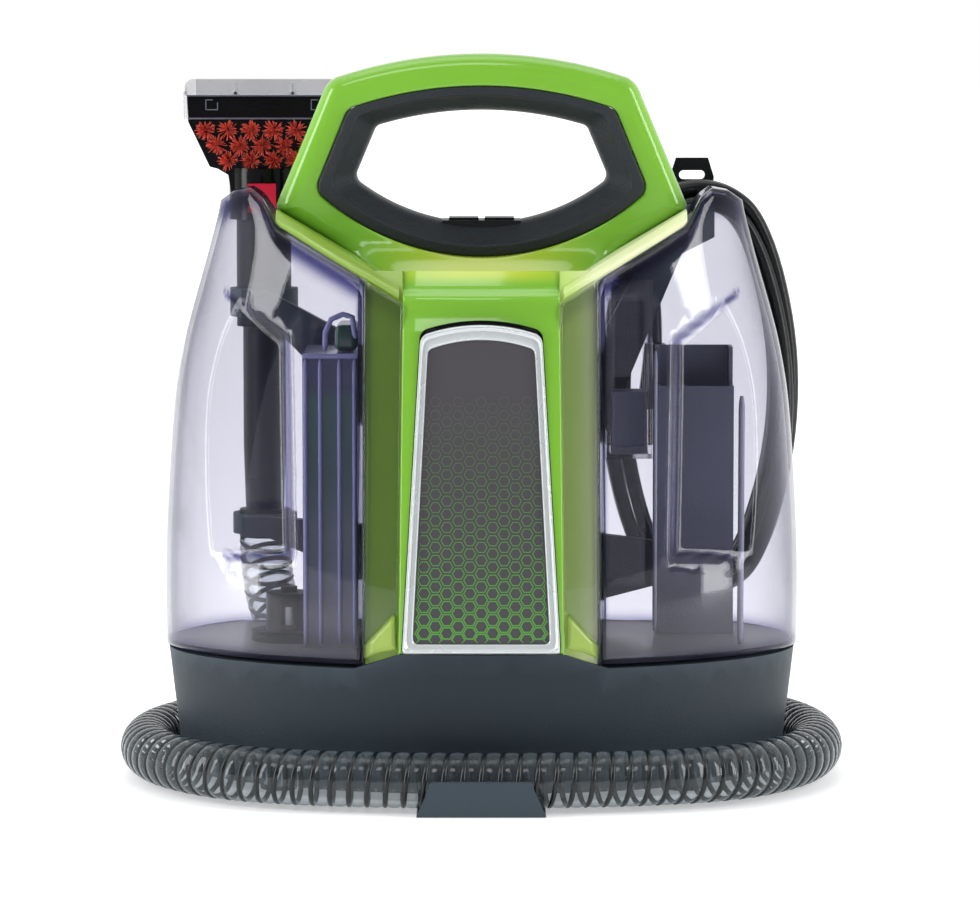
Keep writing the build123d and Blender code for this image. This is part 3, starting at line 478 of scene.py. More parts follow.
for i, (p, (t, n, b)) in enumerate(zip(fine_line, frames_along(fine_line))):
    turn = -2 * math.pi * i / 22
    d = n * math.cos(turn) + b * math.sin(turn)
    for k in range(ring):
        a = 2 * math.pi * k / ring
        verts.append((p + d * (11.75 + 1.2 * math.cos(a)) * MM + t * 1.25 * math.sin(a) * MM) / MM)
hose_rib = make_object("hose_rib", verts, grid_faces(len(fine_line), ring, closed_cols=True),
                       MAT["hose_rib"], "housing", "hose_plastic")
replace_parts(hose_film, "hose")


def oval_point(travel, half_width, half_height, end):
    """A point of a four-arc oval. travel runs 0 to 1 once round, from +x towards +z."""
    side = (half_width**2 + (half_height - end) ** 2 - end**2) / (2 * (half_width - end))
    lean = math.atan2(half_height - end, side - half_width)
    facing = np.linspace(0, 2 * math.pi, 1441)
    on_side = np.abs(np.sin(facing)) < math.sin(lean)
    cos, sin = np.cos(facing), np.sin(facing)
    x = np.where(on_side, np.sign(cos) * (half_width - side) + side * cos, end * cos)
    z = np.where(on_side, side * sin, np.sign(sin) * (half_height - end) + end * sin)
    run = np.concatenate([[0], np.cumsum(np.hypot(np.diff(x), np.diff(z)))])
    measure = run / run[-1] + 1.2 * facing / (2 * math.pi)
    at = (travel % 1.0) * measure[-1]
    return float(np.interp(at, measure, x)), float(np.interp(at, measure, z))


CORD_ROUTE = [(58, 98.5, 46), (80, 98.5, 46), (103, 99, 57), (122, 102, 76)]
TURNS, FIRST, LAST = 8, -0.155, 0.385
steps = 18 * TURNS + 10
for k in range(steps):
    share = k / (steps - 1)
    turn = (TURNS + LAST - FIRST) * share
    layer = min(max((turn - 4.0) / 0.35, 0), 1)
    across = 104.7 - 7.5 * turn if turn < 4.02 else 74.6 + 7.5 * max(turn - 4.3, 0)
    wobble = 0.3 * math.sin(9.3 * turn)
    push = 0.5 - 7.6 * layer + wobble
    u, v = oval_point(FIRST + turn, 46.1 + push, 100.1 + push, 33.1 + push)
    CORD_ROUTE.append((108 + u, min(across, 104.7), 178 + v))
CORD_ROUTE += [(84.0, 99, 232), (86, 93, 216), (86, 90, 200)]
cord = nurbs("mains_cord", CORD_ROUTE)
cord.data.bevel_depth = 3.6 * MM
cord.data.bevel_resolution = 4
cord.data.resolution_u = 5
cord.data.use_fill_caps = True
cord.data.materials.append(MAT["cord_rubber"])
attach(cord, "housing")
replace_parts(cord, "cord_lead", "cord_hank", "cord_tail")
_, cord_length = sampled(CORD_ROUTE, 0.004)

# ---- green cowl and handle ---------------------------------------------------------
HUB = (0.0, 288.0)
outer = (arc((-72.5, 331.5), (0, 344), (72.5, 331.5), 40)
         + [(98, 271), (37.0, 235.6), (34.5, 233.4)] + arc((33, 233.0), (0, 238.4), (-33, 233.0), 20)
         + [(-34.5, 233.4), (-37.0, 235.6), (-98, 271)])
outer = round_corners(outer, {(72.5, 331.5): 12, (-72.5, 331.5): 12, (98, 271): 3, (-98, 271): 3})
grip_outline = (arc((-63, 318), (0, 329), (63, 318), 30)
                + arc((78.5, 280), (0, 248.6), (-78.5, 280), 50))
grip_outline = round_corners(grip_outline, {(63, 318): 7, (-63, 318): 7, (78.5, 280): 7, (-78.5, 280): 7})
opening = (arc((-50, 310), (0, 317.5), (50, 310), 30)
           + arc((60.5, 285), (0, 263.6), (-60.5, 285), 40))
opening = round_corners(opening, {(50, 310): 5, (-50, 310): 5, (60.5, 285): 5, (-60.5, 285): 5})


def ring_angles(*outlines):
    """Even angles, with those of every outline's own points added."""
    base = list(np.linspace(-math.pi, math.pi, 240, endpoint=False))
    for o in outlines:
        base += [math.atan2(z - HUB[1], x - HUB[0]) for x, z in o]
    base = np.sort(np.array(base))
    keep = np.concatenate([[True], np.diff(base) > 0.002])
    return base[keep]


def ring_piece(name, outside, inside, depth, edge_out, edge_in, steps, material, slot):
    """A closed ring between two outlines. depth(x, z, share) is how far forward it stands."""
    angles = ring_angles(outside, inside)
    far, far_n = ray_hits(outside, HUB, angles)
    near, near_n = ray_hits(inside, HUB, angles)
    verts = []
    for t, o, on, i, inn in zip(angles, far, far_n, near, near_n):
        d = np.array([math.cos(t), math.sin(t)])
        stretch_o = min(1 / max(abs(d @ on), 0.35), 2.5)
        stretch_i = min(1 / max(abs(d @ inn), 0.35), 2.5)
        width = np.linalg.norm(o - i)
        profile = []
        for k in range(5):
            phi = k / 4 * math.pi / 2
            along = edge_in * stretch_i * (1 - math.cos(phi))
            profile.append((min(along, width * 0.4), edge_in * (1 - math.sin(phi))))
        lo, hi = edge_in * stretch_i, width - edge_out * stretch_o
        hi = max(hi, lo + 0.1)
        profile += [(lo + (hi - lo) * (k + 1) / (steps + 1), 0.0) for k in range(steps)]
        for k in range(8):
            phi = k / 7 * math.pi / 2
            along = width - edge_out * stretch_o * (1 - math.sin(phi))
            profile.append((max(along, lo), edge_out * (1 - math.cos(phi))))
        front = []
        for along, drop in profile:
            x, z = i + d * along
            front.append((x, depth(x, z, along / width) - drop, z))
        column = [(i[0], 0, i[1])] + [(x, -y, z) for x, y, z in front] + [(o[0], 0, o[1])]
        column += [(x, y, z) for x, y, z in reversed(front)]
        verts += column
        per = len(column)
    faces = grid_faces(len(angles), per, closed_rows=True, closed_cols=True)
    return make_object(name, verts, faces, material, "housing", slot)


def cowl_depth(x, z, share):
    return float(skin(x, z, 0.0, COWL_TABLE))


cowl = ring_piece("green_cowl", outer, grip_outline, cowl_depth, 7.5, 1.0, 16, MAT["green_gloss"],
                  "green_gloss")


def grip_depth(x, z, share):
    """A raised band with a ridge, falling inwards to the hand hole."""
    return float(np.interp(share, [0, 0.05, 0.55, 0.66, 1.0], [11.5, 13.0, 20.5, 23.0, 22.2]))


GRIP_FIT = 0.9965
grip_edge = [(x * GRIP_FIT, HUB[1] + (z - HUB[1]) * GRIP_FIT) for x, z in grip_outline]
grip = ring_piece("grip_sleeve", grip_edge, opening, grip_depth, 1.2, 2.5, 18, MAT["soft_grip"],
                  "soft_grip")
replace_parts(grip, "grip_ring")

# ---- green column between the tanks --------------------------------------------------
BEZEL_FOOT, BEZEL_SIN, BEZEL_COS = (-95.5, 69.9), 0.1146, 0.9934
BEZEL_LEAN = BEZEL_SIN / BEZEL_COS
FLANK_DROP = 3.2
EDGE_ROLL = {52.6: 0.3, 53.3: 1.0, 53.7: 2.2}


def column_split(z):
    """Half width of the column's raised front, where its flanks begin."""
    return float(np.interp(z, [63, 236], [38.4, 36.4]))


def badge_half(z):
    return float(np.interp(z, [70, 216], [36.4, 28.0]))


def bezel_plane(z):
    """How far forward the badge's back plane is at height z."""
    return -(BEZEL_FOOT[0] + (z - BEZEL_FOOT[1]) * BEZEL_LEAN)


def column_front(x, z):
    """Depth of the column's front, with flanks set back and the base lip cleared."""
    ax = abs(x)
    body = float(skin(x, z))
    if ax < column_split(z):
        deep = body
        if 68 < z < 217 and ax < badge_half(z) - 1.5:
            deep = min(deep, bezel_plane(z) - 0.4)
        if z > 232:
            deep -= np.interp(z, [232, 236], [0.0, 4.5])
        if z > 217:
            deep -= 1.6 * math.sin(min((z - 217) / 16, 1) * math.pi)
    else:
        deep = body - FLANK_DROP
    lip = np.interp(ax, [37.2, 58.9], [69.6, 62.3])
    return min(deep, 90.5) if z < lip else deep


def column_row(z):
    """One closed loop round the column at height z, starting at the front middle."""
    split, half = column_split(z), badge_half(z)
    places = [*np.linspace(0, half - 1.6, 14), half - 1.4, half, split - 0.9, split - 0.3, split,
              split + 0.15, split + 0.6, *np.linspace(split + 2.5, 51.5, 8), *EDGE_ROLL]
    xs = sorted({round(v, 3) for v in places})
    front, rear = [], []
    for x in xs:
        roll = EDGE_ROLL.get(x, 0)
        y = column_front(x, z)
        if split - 0.9 <= x <= split:
            y -= 0.7 * (x - split + 0.9) / 0.9
        front.append((x, -(y - roll)))
        rear.append((x, float(skin(x, z)) - FLANK_DROP - roll))
    right = front + rear[::-1]
    return right + [(-x, y) for x, y in reversed(right)]


heights = sorted({63.3, 64, 66, 67.5, 68.5, 69.2, 69.7, 70.2, 71, *np.arange(73, 215, 4.0),
                  216.6, 217.2, 218.5, *np.arange(220, 232, 1.5), 232.5, 233.3, 234, 235, 236, 238,
                  241, 244})
rows = [column_row(z) for z in heights]
count = len(rows[0])
verts = [(x, y, z) for row, z in zip(rows, heights) for x, y in row]
column = make_object("green_column", verts, grid_faces(len(heights), count, closed_cols=True),
                     MAT["green_gloss"], "housing", "green_gloss")
# The set-back flanks take the green with painted shade and painted highlight.
column.data.materials.append(MAT["green_flank"])
for face in column.data.polygons:
    c = face.center / MM
    if abs(c.x) > column_split(c.z) - 0.2 and c.y < 0:
        face.material_index = 1


def behind_grille(face):
    x, y, z = face.calc_center_median()
    return y > 0.06 and abs(x) < 0.0262 and 0.0975 < z < 0.1405


window = bmesh.new()
window.from_mesh(column.data)
bmesh.ops.delete(window, geom=[f for f in window.faces if behind_grille(f)], context="FACES")
window.to_mesh(column.data)
window.free()
column.modifiers.new("creases", "EDGE_SPLIT").split_angle = math.radians(40)
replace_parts(cowl, "front_shell", "rear_shell")

# ---- clear tanks ---------------------------------------------------------------------
# Height of a tank's rim by distance from the middle, and the outline of its finger recess.
RIM = [(30, 225.4), (36.8, 229.3), (96, 263.5), (103.5, 277.0), (109, 281.0), (117, 279.5),
       (123.5, 275.0), (170, 238)]
POCKET = [(-89, 112), (-133, 109), (-134, 246), (-124, 236), (-91, 212)]
POCKET_AT, POCKET_N = np.array((-89.0, -67.0, 115.0)), np.array((-0.405, -0.906, 0.121))
SEAM, WING_EDGE, WIDEST = 54.6, 38.6, 151.0
TANK_FOOT, TANK_BACK = 63.1, 58.0


def rim_z(x):
    xs, zs = zip(*RIM)
    return float(np.interp(abs(x), xs, zs))


def inside_distance(x, z, poly):
    """Distance to the outline, positive inside."""
    inside, best = False, 1e9
    for (ax, az), (bx, bz) in zip(poly, poly[1:] + poly[:1]):
        ex, ez = bx - ax, bz - az
        s = min(max(((x - ax) * ex + (z - az) * ez) / (ex * ex + ez * ez), 0), 1)
        best = min(best, math.hypot(x - ax - s * ex, z - az - s * ez))
        if (az > z) != (bz > z) and x < ax + (z - az) / (bz - az) * ex:
            inside = not inside
    return best if inside else -best


def pocketed(x, y, z):
    """The finger recess on the outer front of a tank; x is negative."""
    if y > 0:
        return y
    d = inside_distance(x, z, POCKET)
    if d < -3.5:
        return y
    n = POCKET_N
    plane_y = POCKET_AT[1] - (n[0] * (x - POCKET_AT[0]) + n[2] * (z - POCKET_AT[2])) / n[1]
    depth = max(plane_y - y, 0)
    share = min(max((d + 3.5) / 6.0, 0), 1)
    share = share * share * (3 - 2 * share)
    rim = 1.3 * math.exp(-((d + 2.8) / 1.5) ** 2) if depth > 0.5 else 0
    return y + depth * share - rim


def between(a, b, n):
    """The n - 1 points that divide the run from a to b."""
    return [tuple(a[c] + (b[c] - a[c]) * q / n for c in range(3)) for q in range(1, n)]


def band_shade_amount(x, y, z):
    """Painted shade: how much darker purple a tank's wall is painted at a place, its lip, corner, recess
    edge and foot, in place of the dark bands that refraction gives there.
    """
    under_rim = math.exp(-((rim_z(x) - z - 4.5) / 5.0) ** 2)
    lip = under_rim * (0.12 if abs(x) < SEAM - 0.1 else 0.95 if y < 10 else 0.25)
    corner = math.exp(-((x + 56.0) / 1.6) ** 2) * (0.8 if y < 50 else 0)
    recess = math.exp(-((inside_distance(x, z, POCKET) - 1.0) / 1.3) ** 2)
    recess *= 0.95 if y < -5 and x > -121 else 0
    return min(1.0, max(lip, corner, recess, 0.5 * math.exp(-((z - 64) / 4.0) ** 2)))


def tank_mesh(name, side, body):
    """One tank as a closed thin shell, with the wing that wraps over the column."""
    split, wing = math.acos(SEAM / WIDEST), math.acos(WING_EDGE / WIDEST)
    first, rows, across = 13, 96, 14
    angles = np.concatenate([np.linspace(wing, split, first + 1)[:-1], np.linspace(split, 0, 150)])
    front, back = [], []
    for t in angles:
        top = 240.0
        for _ in range(40):
            top = 0.5 * top + 0.5 * min(rim_z(half_width(top) * math.cos(t)), 300)
        f, r = [], []
        for k in range(rows + 1):
            share = k / rows
            z = TANK_FOOT + (top - TANK_FOOT) * share
            x = float(half_width(z)) * math.cos(t)
            if t > split:
                inner = 38.8 + (36.9 - 38.8) * (z - 63) / 172
                x = inner + (SEAM - inner) * (wing - t) / (wing - split)
                low = np.interp(x, [38.0, SEAM], [89.5, 73.5])
                z = low + (rim_z(x) - low) * share
            elif t == split:
                x = SEAM
            else:
                x = max(x, SEAM + (split - t) * 30)
            y = float(skin(x, z))
            f.append((-x, pocketed(-x, -y, z), z))
            r.append((-x, min(y, TANK_BACK), z))
        front.append(f)
        back.append(r)

    loops = []
    for f, r in zip(front[first:], back[first:]):
        loops.append(f + between(f[-1], r[-1], across) + r[::-1] + between(r[0], f[0], across))
    n = len(loops[0])
    verts = [v for loop in loops for v in loop]
    faces = grid_faces(len(loops), n, closed_cols=True)
    base = len(verts)
    for a, b in zip(front[first], back[first]):
        verts += [a] + between(a, b, across) + [b]
    faces += grid_faces(rows + 1, across + 1, start=base)
    flat = [v for f in front[:first + 1] for v in f]
    shell, flap = (
        make_object(label, [(-side * x, y, z) for x, y, z in points], quads, MAT["tank_clear"],
                    body, "tank_clear")
        for label, points, quads in ((name, verts, faces),
                                     (name + "_wing", flat, grid_faces(first + 1, rows + 1)))
    )
    for obj in (shell, flap):
        # Painted shade on every point of the tank: darker purple at the lip, seam corner, recess rim and
        # foot.
        thick = obj.data.attributes.new("thick", "FLOAT", "POINT")
        olive = obj.data.attributes.new("olive", "FLOAT", "POINT")
        for v in obj.data.vertices:
            x, y, z = -abs(v.co.x) / MM, v.co.y / MM, v.co.z / MM
            thick.data[v.index].value = band_shade_amount(x, y, z)
            olive.data[v.index].value = 0.12 if abs(x) < 53.5 else 0.0
    shell.data.materials.append(MAT["tank_floor"])
    for face in shell.data.polygons:
        if face.center.z < 63.3 * MM and abs(face.normal.z) > 0.8:
            face.material_index = 1
    rounding = shell.modifiers.new("rounding", "SMOOTH")
    rounding.factor, rounding.iterations = 0.5, 7
    for obj in (shell, flap):
        wall = obj.modifiers.new("wall", "SOLIDIFY")
        wall.thickness, wall.offset = 2.3 * MM, -1
    return shell


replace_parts(tank_mesh("clean_tank_clear", -1, "clean_tank"), "clean_tank_shell")
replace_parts(tank_mesh("dirty_tank_clear", 1, "dirty_tank"), "dirty_tank_shell")


def rounded_block(name, low, high, material, body, slot, round_by=0.5):
    """A small moulded bar with rounded edges."""
    xs, ys, zs = zip(low, high)
    verts = [(x, y, z) for x in xs for y in ys for z in zs]
    faces = [(0, 1, 3, 2), (4, 6, 7, 5), (0, 4, 5, 1), (2, 3, 7, 6), (0, 2, 6, 4), (1, 5, 7, 3)]
    return soft_edges(make_object(name, verts, faces, material, body, slot), round_by, 3)


GRILLE_FRAME = [((-31.0, 82.5, 93.5), (-25.5, 89.6, 145.5)), ((25.5, 82.5, 93.5), (31.0, 89.6, 145.5)),
                ((-31.0, 82.5, 140.5), (31.0, 90.6, 145.5)), ((-31.0, 82.5, 93.5), (31.0, 90.9, 98.0))]
for k, (low, high) in enumerate(GRILLE_FRAME):
    rounded_block(f"grille_frame_{k}", low, high, MAT["green_gloss"], "housing", "green_gloss", 1.2)

# ---- what shows inside the tanks -----------------------------------------------------------
def rod(name, path, radius, material, body, slot, sides=12):
    """A smooth moulded rib along a few points, in millimetres, closed at both ends."""
    pts = np.array(path, float)
    line = []
    for a, b in zip(pts[:-1], pts[1:]):
        steps = max(2, int(np.linalg.norm(b - a) / 3))
        line += [a + (b - a) * k / steps for k in range(steps)]
    line = np.array(line + [pts[-1]])
    verts = []
    for i, (p, (t, n, b)) in enumerate(zip(line, frames_along(line))):
        end = min(i, len(line) - 1 - i)
        r = radius * (0.55, 0.9, 1.0)[min(end, 2)]
        turns = [2 * math.pi * k / sides for k in range(sides)]
        verts += [p + (n * math.cos(a) + b * math.sin(a)) * r for a in turns]
    count = len(line)
    faces = grid_faces(count, sides, closed_cols=True)
    faces += [tuple(range(sides)), tuple(range((count - 1) * sides, count * sides))]
    return make_object(name, verts, faces, material, body, slot)


rib_tint = plastic("channel_rib", (0.26, 0.26, 0.50), 0.15, (300, 0.05), 0.1, coat=0.4)
cap_green = plastic("channel_cap", (0.012, 0.075, 0.045), 0.18, (300, 0.05), 0.2, coat=0.4)
baffle_tint = plastic("baffle", (0.36, 0.37, 0.47), 0.2, (300, 0.05), 0.08, coat=0.3)
CHANNEL, STACK = ("clean_tank", "tank_channel"), ("dirty_tank", "grey_plastic")
for k, x in enumerate((-82.6, -75.6, -66.6, -59.6)):
    rod(f"channel_rib_{k}", [(x, -40.9, 67), (x, -40.9, 135), (x, -40.9, 201.5)], 1.1, rib_tint, *CHANNEL)
rounded_block("channel_lid", (-84.2, -41.5, 201.6), (-57.6, 20.0, 204.2), rib_tint, *CHANNEL, 1.0)
rounded_block("channel_cap", (-69.0, -34.0, 204.6), (-58.2, 6.0, 217.0), cap_green, *CHANNEL, 3.0)
rod("channel_hood", [(-73.5, -37, 205.0), (-73.2, -37, 214), (-70.5, -37, 220), (-65, -37, 222.4),
                     (-60.5, -37, 221), (-59.6, -37, 214), (-59.0, -37, 211)], 1.3, rib_tint, *CHANNEL)
rod("baffle_edge", [(121.8, -40, 67), (122.0, -40, 120), (122.2, -38, 184)], 1.5, baffle_tint, *STACK)
rod("stack_edge", [(83.2, 6.0, 67), (83.2, 6.0, 130), (83.2, 6.0, 202)], 1.1, baffle_tint, *STACK)

# ---- silver bezel ----------------------------------------------------------------------
BADGE_HUB = (0.0, 74.0)


def plane_ring(name, outside, inside, profile, slot):
    """A ring on the badge's plane. profile is (share from inside to outside, height) round its section."""
    base = [math.atan2(v - BADGE_HUB[1], u) for u, v in outside + inside]
    angles = np.sort(np.array(base + list(np.linspace(-math.pi, math.pi, 180, endpoint=False))))
    angles = angles[np.concatenate([[True], np.diff(angles) > 0.004])]
    far, _ = ray_hits(outside, BADGE_HUB, angles)
    near, _ = ray_hits(inside, BADGE_HUB, angles)
    verts = []
    for o, i in zip(far, near):
        for share, height in profile:
            u, v = i + (o - i) * share
            verts.append((u, BEZEL_FOOT[0] + v * BEZEL_SIN - height * BEZEL_COS,
                          BEZEL_FOOT[1] + v * BEZEL_COS + height * BEZEL_SIN))
    faces = grid_faces(len(angles), len(profile), closed_rows=True, closed_cols=True)
    ring = make_object(name, verts, faces, MAT[slot], "housing", slot)
    ring.modifiers.new("creases", "EDGE_SPLIT").split_angle = math.radians(28)
    ring.modifiers.new("even", "WEIGHTED_NORMAL")
    return ring


rim_line = round_corners([(-36.4, 0), (36.4, 0)] + arc((28, 146), (0, 151), (-28, 146), 20),
                         {(-36.4, 0): 1.5, (36.4, 0): 1.5, (28, 146): 5.5, (-28, 146): 5.5})
rim_hole = round_corners([(-31.5, 4.5), (31.5, 4.5)] + arc((24.5, 139.5), (0, 144), (-24.5, 139.5), 20),
                         {(-31.5, 4.5): 2.5, (31.5, 4.5): 2.5, (24.5, 139.5): 3, (-24.5, 139.5): 3})
bezel_ring = plane_ring("bezel_trim", rim_line, rim_hole,
                        [(0, 0.2), (0, 3.6), (0.05, 4.1), (0.12, 4.35), (0.5, 4.5), (0.60, 4.35),
                         (0.66, 4.6),
                         (0.72, 5.1), (0.80, 5.38), (0.88, 5.3), (0.95, 4.9), (0.99, 4.2), (1.0, 3.4),
                         (1.0, 0.2)], "silver_trim")
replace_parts(bezel_ring, "bezel")
# Painted shadow: a black gloss crescent just above the bezel's top edge, standing for the shadow and dark
# reflection there.
over = [(u * 1.012, v + 2.2 if v > 80 else v) for u, v in rim_line]
plane_ring("bezel_recess", over, [(u * 0.97, v * 0.99 + 0.8) for u, v in rim_line],
           [(0, 0.3), (0, 1.2), (0.5, 2.0), (0.9, 2.0), (1.0, 1.4), (1.0, 0.3)], "black_gloss")

# ---- green shoulder between the cowl's lower edge and each tank's rim ------------------------
for side in (-1, 1):
    verts = []
    for x in np.linspace(38.0, 96.5, 40):
        top, low = 235.6 + (x - 36.2) * 35.7 / 61.8, rim_z(x) + 0.5
        front_top, front_low = float(skin(x, top)) - 2.2, float(skin(x, low)) - 1.5
        back_top, back_low = min(front_top, 56), min(front_low, 56)
        section = [(-front_low + 1.2, low), (-front_low, low + 1.2), (-front_low - 0.1, (top + low) / 2),
                   (-front_top, top - 0.2), (-front_top + 3, top + 0.4), (back_top - 3, top + 0.4),
                   (back_top, top - 0.2), (back_low, low + 1.2), (back_low - 1.2, low)]
        verts += [(side * x, y, z) for y, z in section]
    faces = grid_faces(40, 9, closed_cols=True) + [tuple(range(9)), tuple(range(39 * 9, 40 * 9))]
    # The shoulders take the flank green, with its painted shade on the left and painted highlight on the
    # right.
    shoulder = make_object("shoulder_left" if side < 0 else "shoulder_right", verts, faces,
                           MAT["green_flank"], "housing", "green_gloss")
    shoulder.modifiers.new("creases", "EDGE_SPLIT").split_angle = math.radians(35)

# ---- green foot of each flank -------------------------------------------------------------
for side in (-1, 1):
    outline = [(39.6, 86.5), (40.8, 87.2), (54.0, 72.4), (54.0, 66.5), (47.0, 69.6), (42.0, 70.6),
               (39.4, 71.5)]
    middle = (44.0, 76.0)
    verts = []
    for drop, grow in ((3.4, 1.0), (0.9, 1.0), (0.35, 0.86), (-0.15, 0.60)):
        for x, z in outline:
            x2, z2 = middle[0] + (x - middle[0]) * grow, middle[1] + (z - middle[1]) * grow
            slope = 1.4 * (x2 - 39.4) / 15
            verts.append((side * x2, -(float(skin(x2, z2)) - drop - slope), z2))
    count = len(outline)
    faces = grid_faces(4, count, closed_cols=True)
    faces += [tuple(range(3 * count, 4 * count)), tuple(range(count - 1, -1, -1))]
    make_object("foot_left" if side < 0 else "foot_right", verts, faces, MAT["green_foot"], "housing",
                "green_gloss", smooth=False)


# ---- badge honeycomb -------------------------------------------------------------------
def honeycomb():
    """Printed hexagon outlines, faint and thin at the top, bold at the foot."""
    up = Vector((0, BEZEL_SIN, BEZEL_COS))
    out_dir = Vector((0, -BEZEL_COS, BEZEL_SIN))
    foot = Vector((0, *BEZEL_FOOT))
    verts, faces = [], []
    size = 3.5
    for column in range(-6, 7):
        for row in range(-1, 24):
            u = column * 1.5 * size
            v = 6.5 + row * math.sqrt(3) * size + (math.sqrt(3) * size / 2 if column % 2 else 0)
            half = np.interp(v, [4.7, 139.3], [31.3, 24.3]) - 0.4
            if v < 5 or v > 118:
                continue
            share = min(max(v / 118, 0), 1)
            r_out = size * np.interp(share, [0, 0.35, 1], [0.99, 0.86, 0.74])
            r_in = size * np.interp(share, [0, 0.35, 1], [0.76, 0.70, 0.655])
            start = len(verts)
            for r in (r_out, r_in):
                for k in range(6):
                    a = math.pi / 3 * k
                    x = min(max(u + r * math.cos(a), -half), half)
                    w = max(v + r * math.sin(a), 5.0)
                    verts.append(tuple(foot + Vector((x, 0, 0)) + up * w + out_dir * 3.42))
            if abs(u) - size > half:
                verts = verts[:start]
                continue
            for k in range(6):
                k2 = (k + 1) % 6
                faces.append((start + k, start + k2, start + 6 + k2, start + 6 + k))
    return verts, faces


print_green, tree, bsdf = new_material("print_green")
ramp = add_node(tree, "ValToRGB", {"Fac": along_axis(tree, "Z", (0.07, 0.195))[0]})
ramp.color_ramp.elements[0].color = (0.105, 0.36, 0.055, 1)
ramp.color_ramp.elements[1].color = (0.098, 0.10, 0.098, 1)
ramp.color_ramp.elements.new(0.55).color = (0.10, 0.20, 0.075, 1)
feed(tree, bsdf, {"Base Color": ramp.outputs["Color"], "Roughness": 0.45})
make_object("badge_honeycomb", *honeycomb(), print_green, "housing", "badge_print", smooth=False)

# ---- bristles ----------------------------------------------------------------------------
verts, faces = [], []
ROWS = [(306.0, [-27.9, -16.8, -5.6, 5.6, 16.8, 27.9]),
        (298.4, [-22.3, -11.2, 0.0, 11.2, 22.3]),
        (291.0, [-16.8, -5.6, 5.6, 16.8])]
for z, offsets in ROWS:
    for off in offsets:
        root = Vector((-108 + off, 75.9, z))
        for _ in range(120):
            a, spread = random.uniform(0, 2 * math.pi), random.random() ** 0.6
            base = root + Vector((math.cos(a) * 2.2 * spread, 0, math.sin(a) * 2.2 * spread))
            length = random.uniform(5.0, 7.8)
            lean = 3.0 * spread + random.uniform(-0.5, 0.7)
            tip = base + Vector((math.cos(a) * lean, -length * (1 - 0.25 * spread), math.sin(a) * lean))
            side = (tip - base).cross(Vector((0, 0, 1))).normalized() * 0.20
            other = (tip - base).cross(side).normalized() * 0.20
            start = len(verts)
            for at, w in ((base, 1.0), (base.lerp(tip, 0.6), 0.95), (tip, 0.55)):
                for c, s in ((1, 0), (0, 1), (-1, 0), (0, -1)):
                    verts.append(tuple(at + side * c * w + other * s * w))
            faces += grid_faces(3, 4, closed_cols=True, start=start)
            faces.append((start + 8, start + 9, start + 10, start + 11))
bristles = make_object("bristle_tufts", verts, faces, MAT["bristle_red"], "tool", "bristle_red")
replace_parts(bristles, "tool_bristles")

# ---- clear lip of the tool: ribs, rim and the two small ports under it ---------------------------
white_rib = plastic("rib_white", (0.42, 0.42, 0.46), 0.25, (700, 0.05), 0.05)
LIP, PORT = ("tool", "clear_plastic"), ("tool", "black_gloss")
for k, x in enumerate((-121.0, -93.0)):
    rounded_block(f"lip_rib_{k}", (x - 0.9, 74.1, 323.4), (x + 0.9, 74.55, 329.0), white_rib, *LIP, 0.2)
    rounded_block(f"lip_rib_foot_{k}", (x - 2.0, 74.1, 323.3), (x + 2.0, 74.55, 325.0), white_rib,
                  *LIP, 0.2)
rounded_block("lip_edge", (-145.2, 74.0, 322.6), (-70.8, 74.55, 323.4), MAT["grey_plastic"], *LIP, 0.2)
rounded_block("lip_step", (-144.8, 75.2, 311.3), (-71.2, 75.8, 312.1), MAT["grey_plastic"], *PORT, 0.2)
for k, x in enumerate((-145.9, -70.9)):
    rounded_block(f"lip_side_{k}", (x - 0.9, 75.0, 311.5), (x + 0.9, 80.0, 325.0),
                  MAT["clear_plastic"], *LIP, 0.7)
PORT_SIDES = [((-3.1, 316.0), (-2.6, 320.9)), ((-3.1, 315.8), (3.1, 316.3)),
              ((2.6, 316.0), (3.1, 319.6)), ((-3.1, 320.6), (0.5, 321.1))]
for k, x in enumerate((-132.8, -81.0)):
    for n, (a, b) in enumerate(PORT_SIDES):
        rounded_block(f"port_{k}_{n}", (x + a[0], 75.2, a[1]), (x + b[0], 75.75, b[1]),
                      MAT["grey_plastic"], *PORT, 0.1)

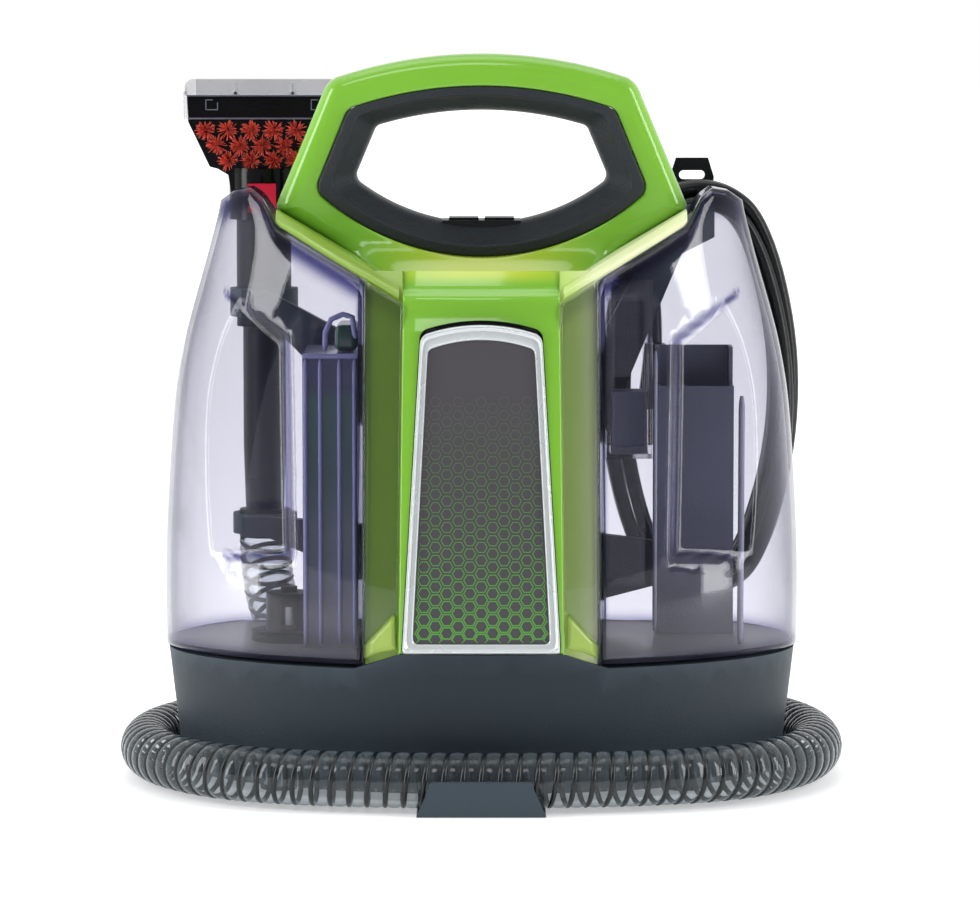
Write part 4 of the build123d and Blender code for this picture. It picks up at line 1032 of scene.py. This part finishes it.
# ---- CAD nodes that stay ---------------------------------------------------------------------
record_slots = {s["node"]: s["material_slot"] for s in frame["record"]["subparts"]}
EDGE_GROUPS = {
    0.6: ("power_rocker heat_rocker strain_relief dirty_float_cage clean_tank_cap exhaust_grille"
          " base_deck dirty_drain_cap"),
    0.8: ("switch_bezel wand_neck wand_cuff wand_holder_upper wand_holder_lower dirty_tank_stack"
          " clean_tank_channel"),
    0.9: "tool_window",
    1.0: "wand_grip wand_trigger",
    1.2: ("base_tub bezel tool_body tool_button cord_hook_upper cord_hook_lower cord_hook_arm"
          " rear_port"),
    1.5: "plug_body",
    1.8: "hose_clip",
}
EDGE = {node: width for width, group in EDGE_GROUPS.items() for node in group.split()}
for node, obj in NODES.items():
    slot = record_slots.get(node)
    if slot in MAT:
        obj.data.materials.clear()
        obj.data.materials.append(MAT[slot])
    soft_edges(obj, EDGE.get(node, 0.3), 2 if node not in EDGE else 3)

# ---- floor, light -------------------------------------------------------------------------
bpy.ops.mesh.primitive_plane_add(size=30, location=(0, 8, 0))
floor = bpy.context.object
floor.name = "floor"
floor_mat = plastic("floor_white", (0.93, 0.93, 0.93), 0.7, (60, 0.02), 0.01)
tree = floor_mat.node_tree
glow, _ = along_axis(tree, "Y", (-8.6, -7.0), (0.20, 0.62), kind="SMOOTHSTEP")
feed(tree, tree.nodes["Principled BSDF"], {"Emission Color": (1, 1, 1, 1), "Emission Strength": glow})
floor.data.materials.append(floor_mat)
floor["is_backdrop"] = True

world = bpy.data.worlds.new("studio")
bpy.context.scene.world = world
world.use_nodes = True
tree = world.node_tree
behind, _ = along_axis(tree, "Y", (-0.6, 0.3), (0.16, 1.0), "Generated", "SMOOTHSTEP")
feed(tree, tree.nodes["Background"], {"Color": (1, 1, 1, 1), "Strength": behind})
view = bpy.context.scene.view_settings
view.view_transform, view.look, view.exposure, view.gamma = "Standard", "None", 0.0, 1.0


def softbox(name, location, size, power):
    """A wide lamp turned to the middle of the object."""
    data = bpy.data.lights.new(name, "AREA")
    data.shape, data.size, data.size_y, data.energy = "RECTANGLE", size[0], size[1], power
    obj = bpy.data.objects.new(name, data)
    obj.location = location
    obj.rotation_euler = (Vector((0, 0, 0.2)) - Vector(location)).to_track_quat("-Z", "Y").to_euler()
    bpy.context.scene.collection.objects.link(obj)


softbox("left", (-1.30, -0.45, 0.55), (0.42, 1.3), 12)
softbox("right", (1.30, -0.50, 0.55), (0.36, 1.3), 11)
softbox("front", (-0.4, -1.6, 2.1), (1.2, 0.6), 9)
softbox("top", (0, 0.1, 2.0), (1.4, 1.0), 6)

bpy.context.view_layer.update()
low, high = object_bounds()
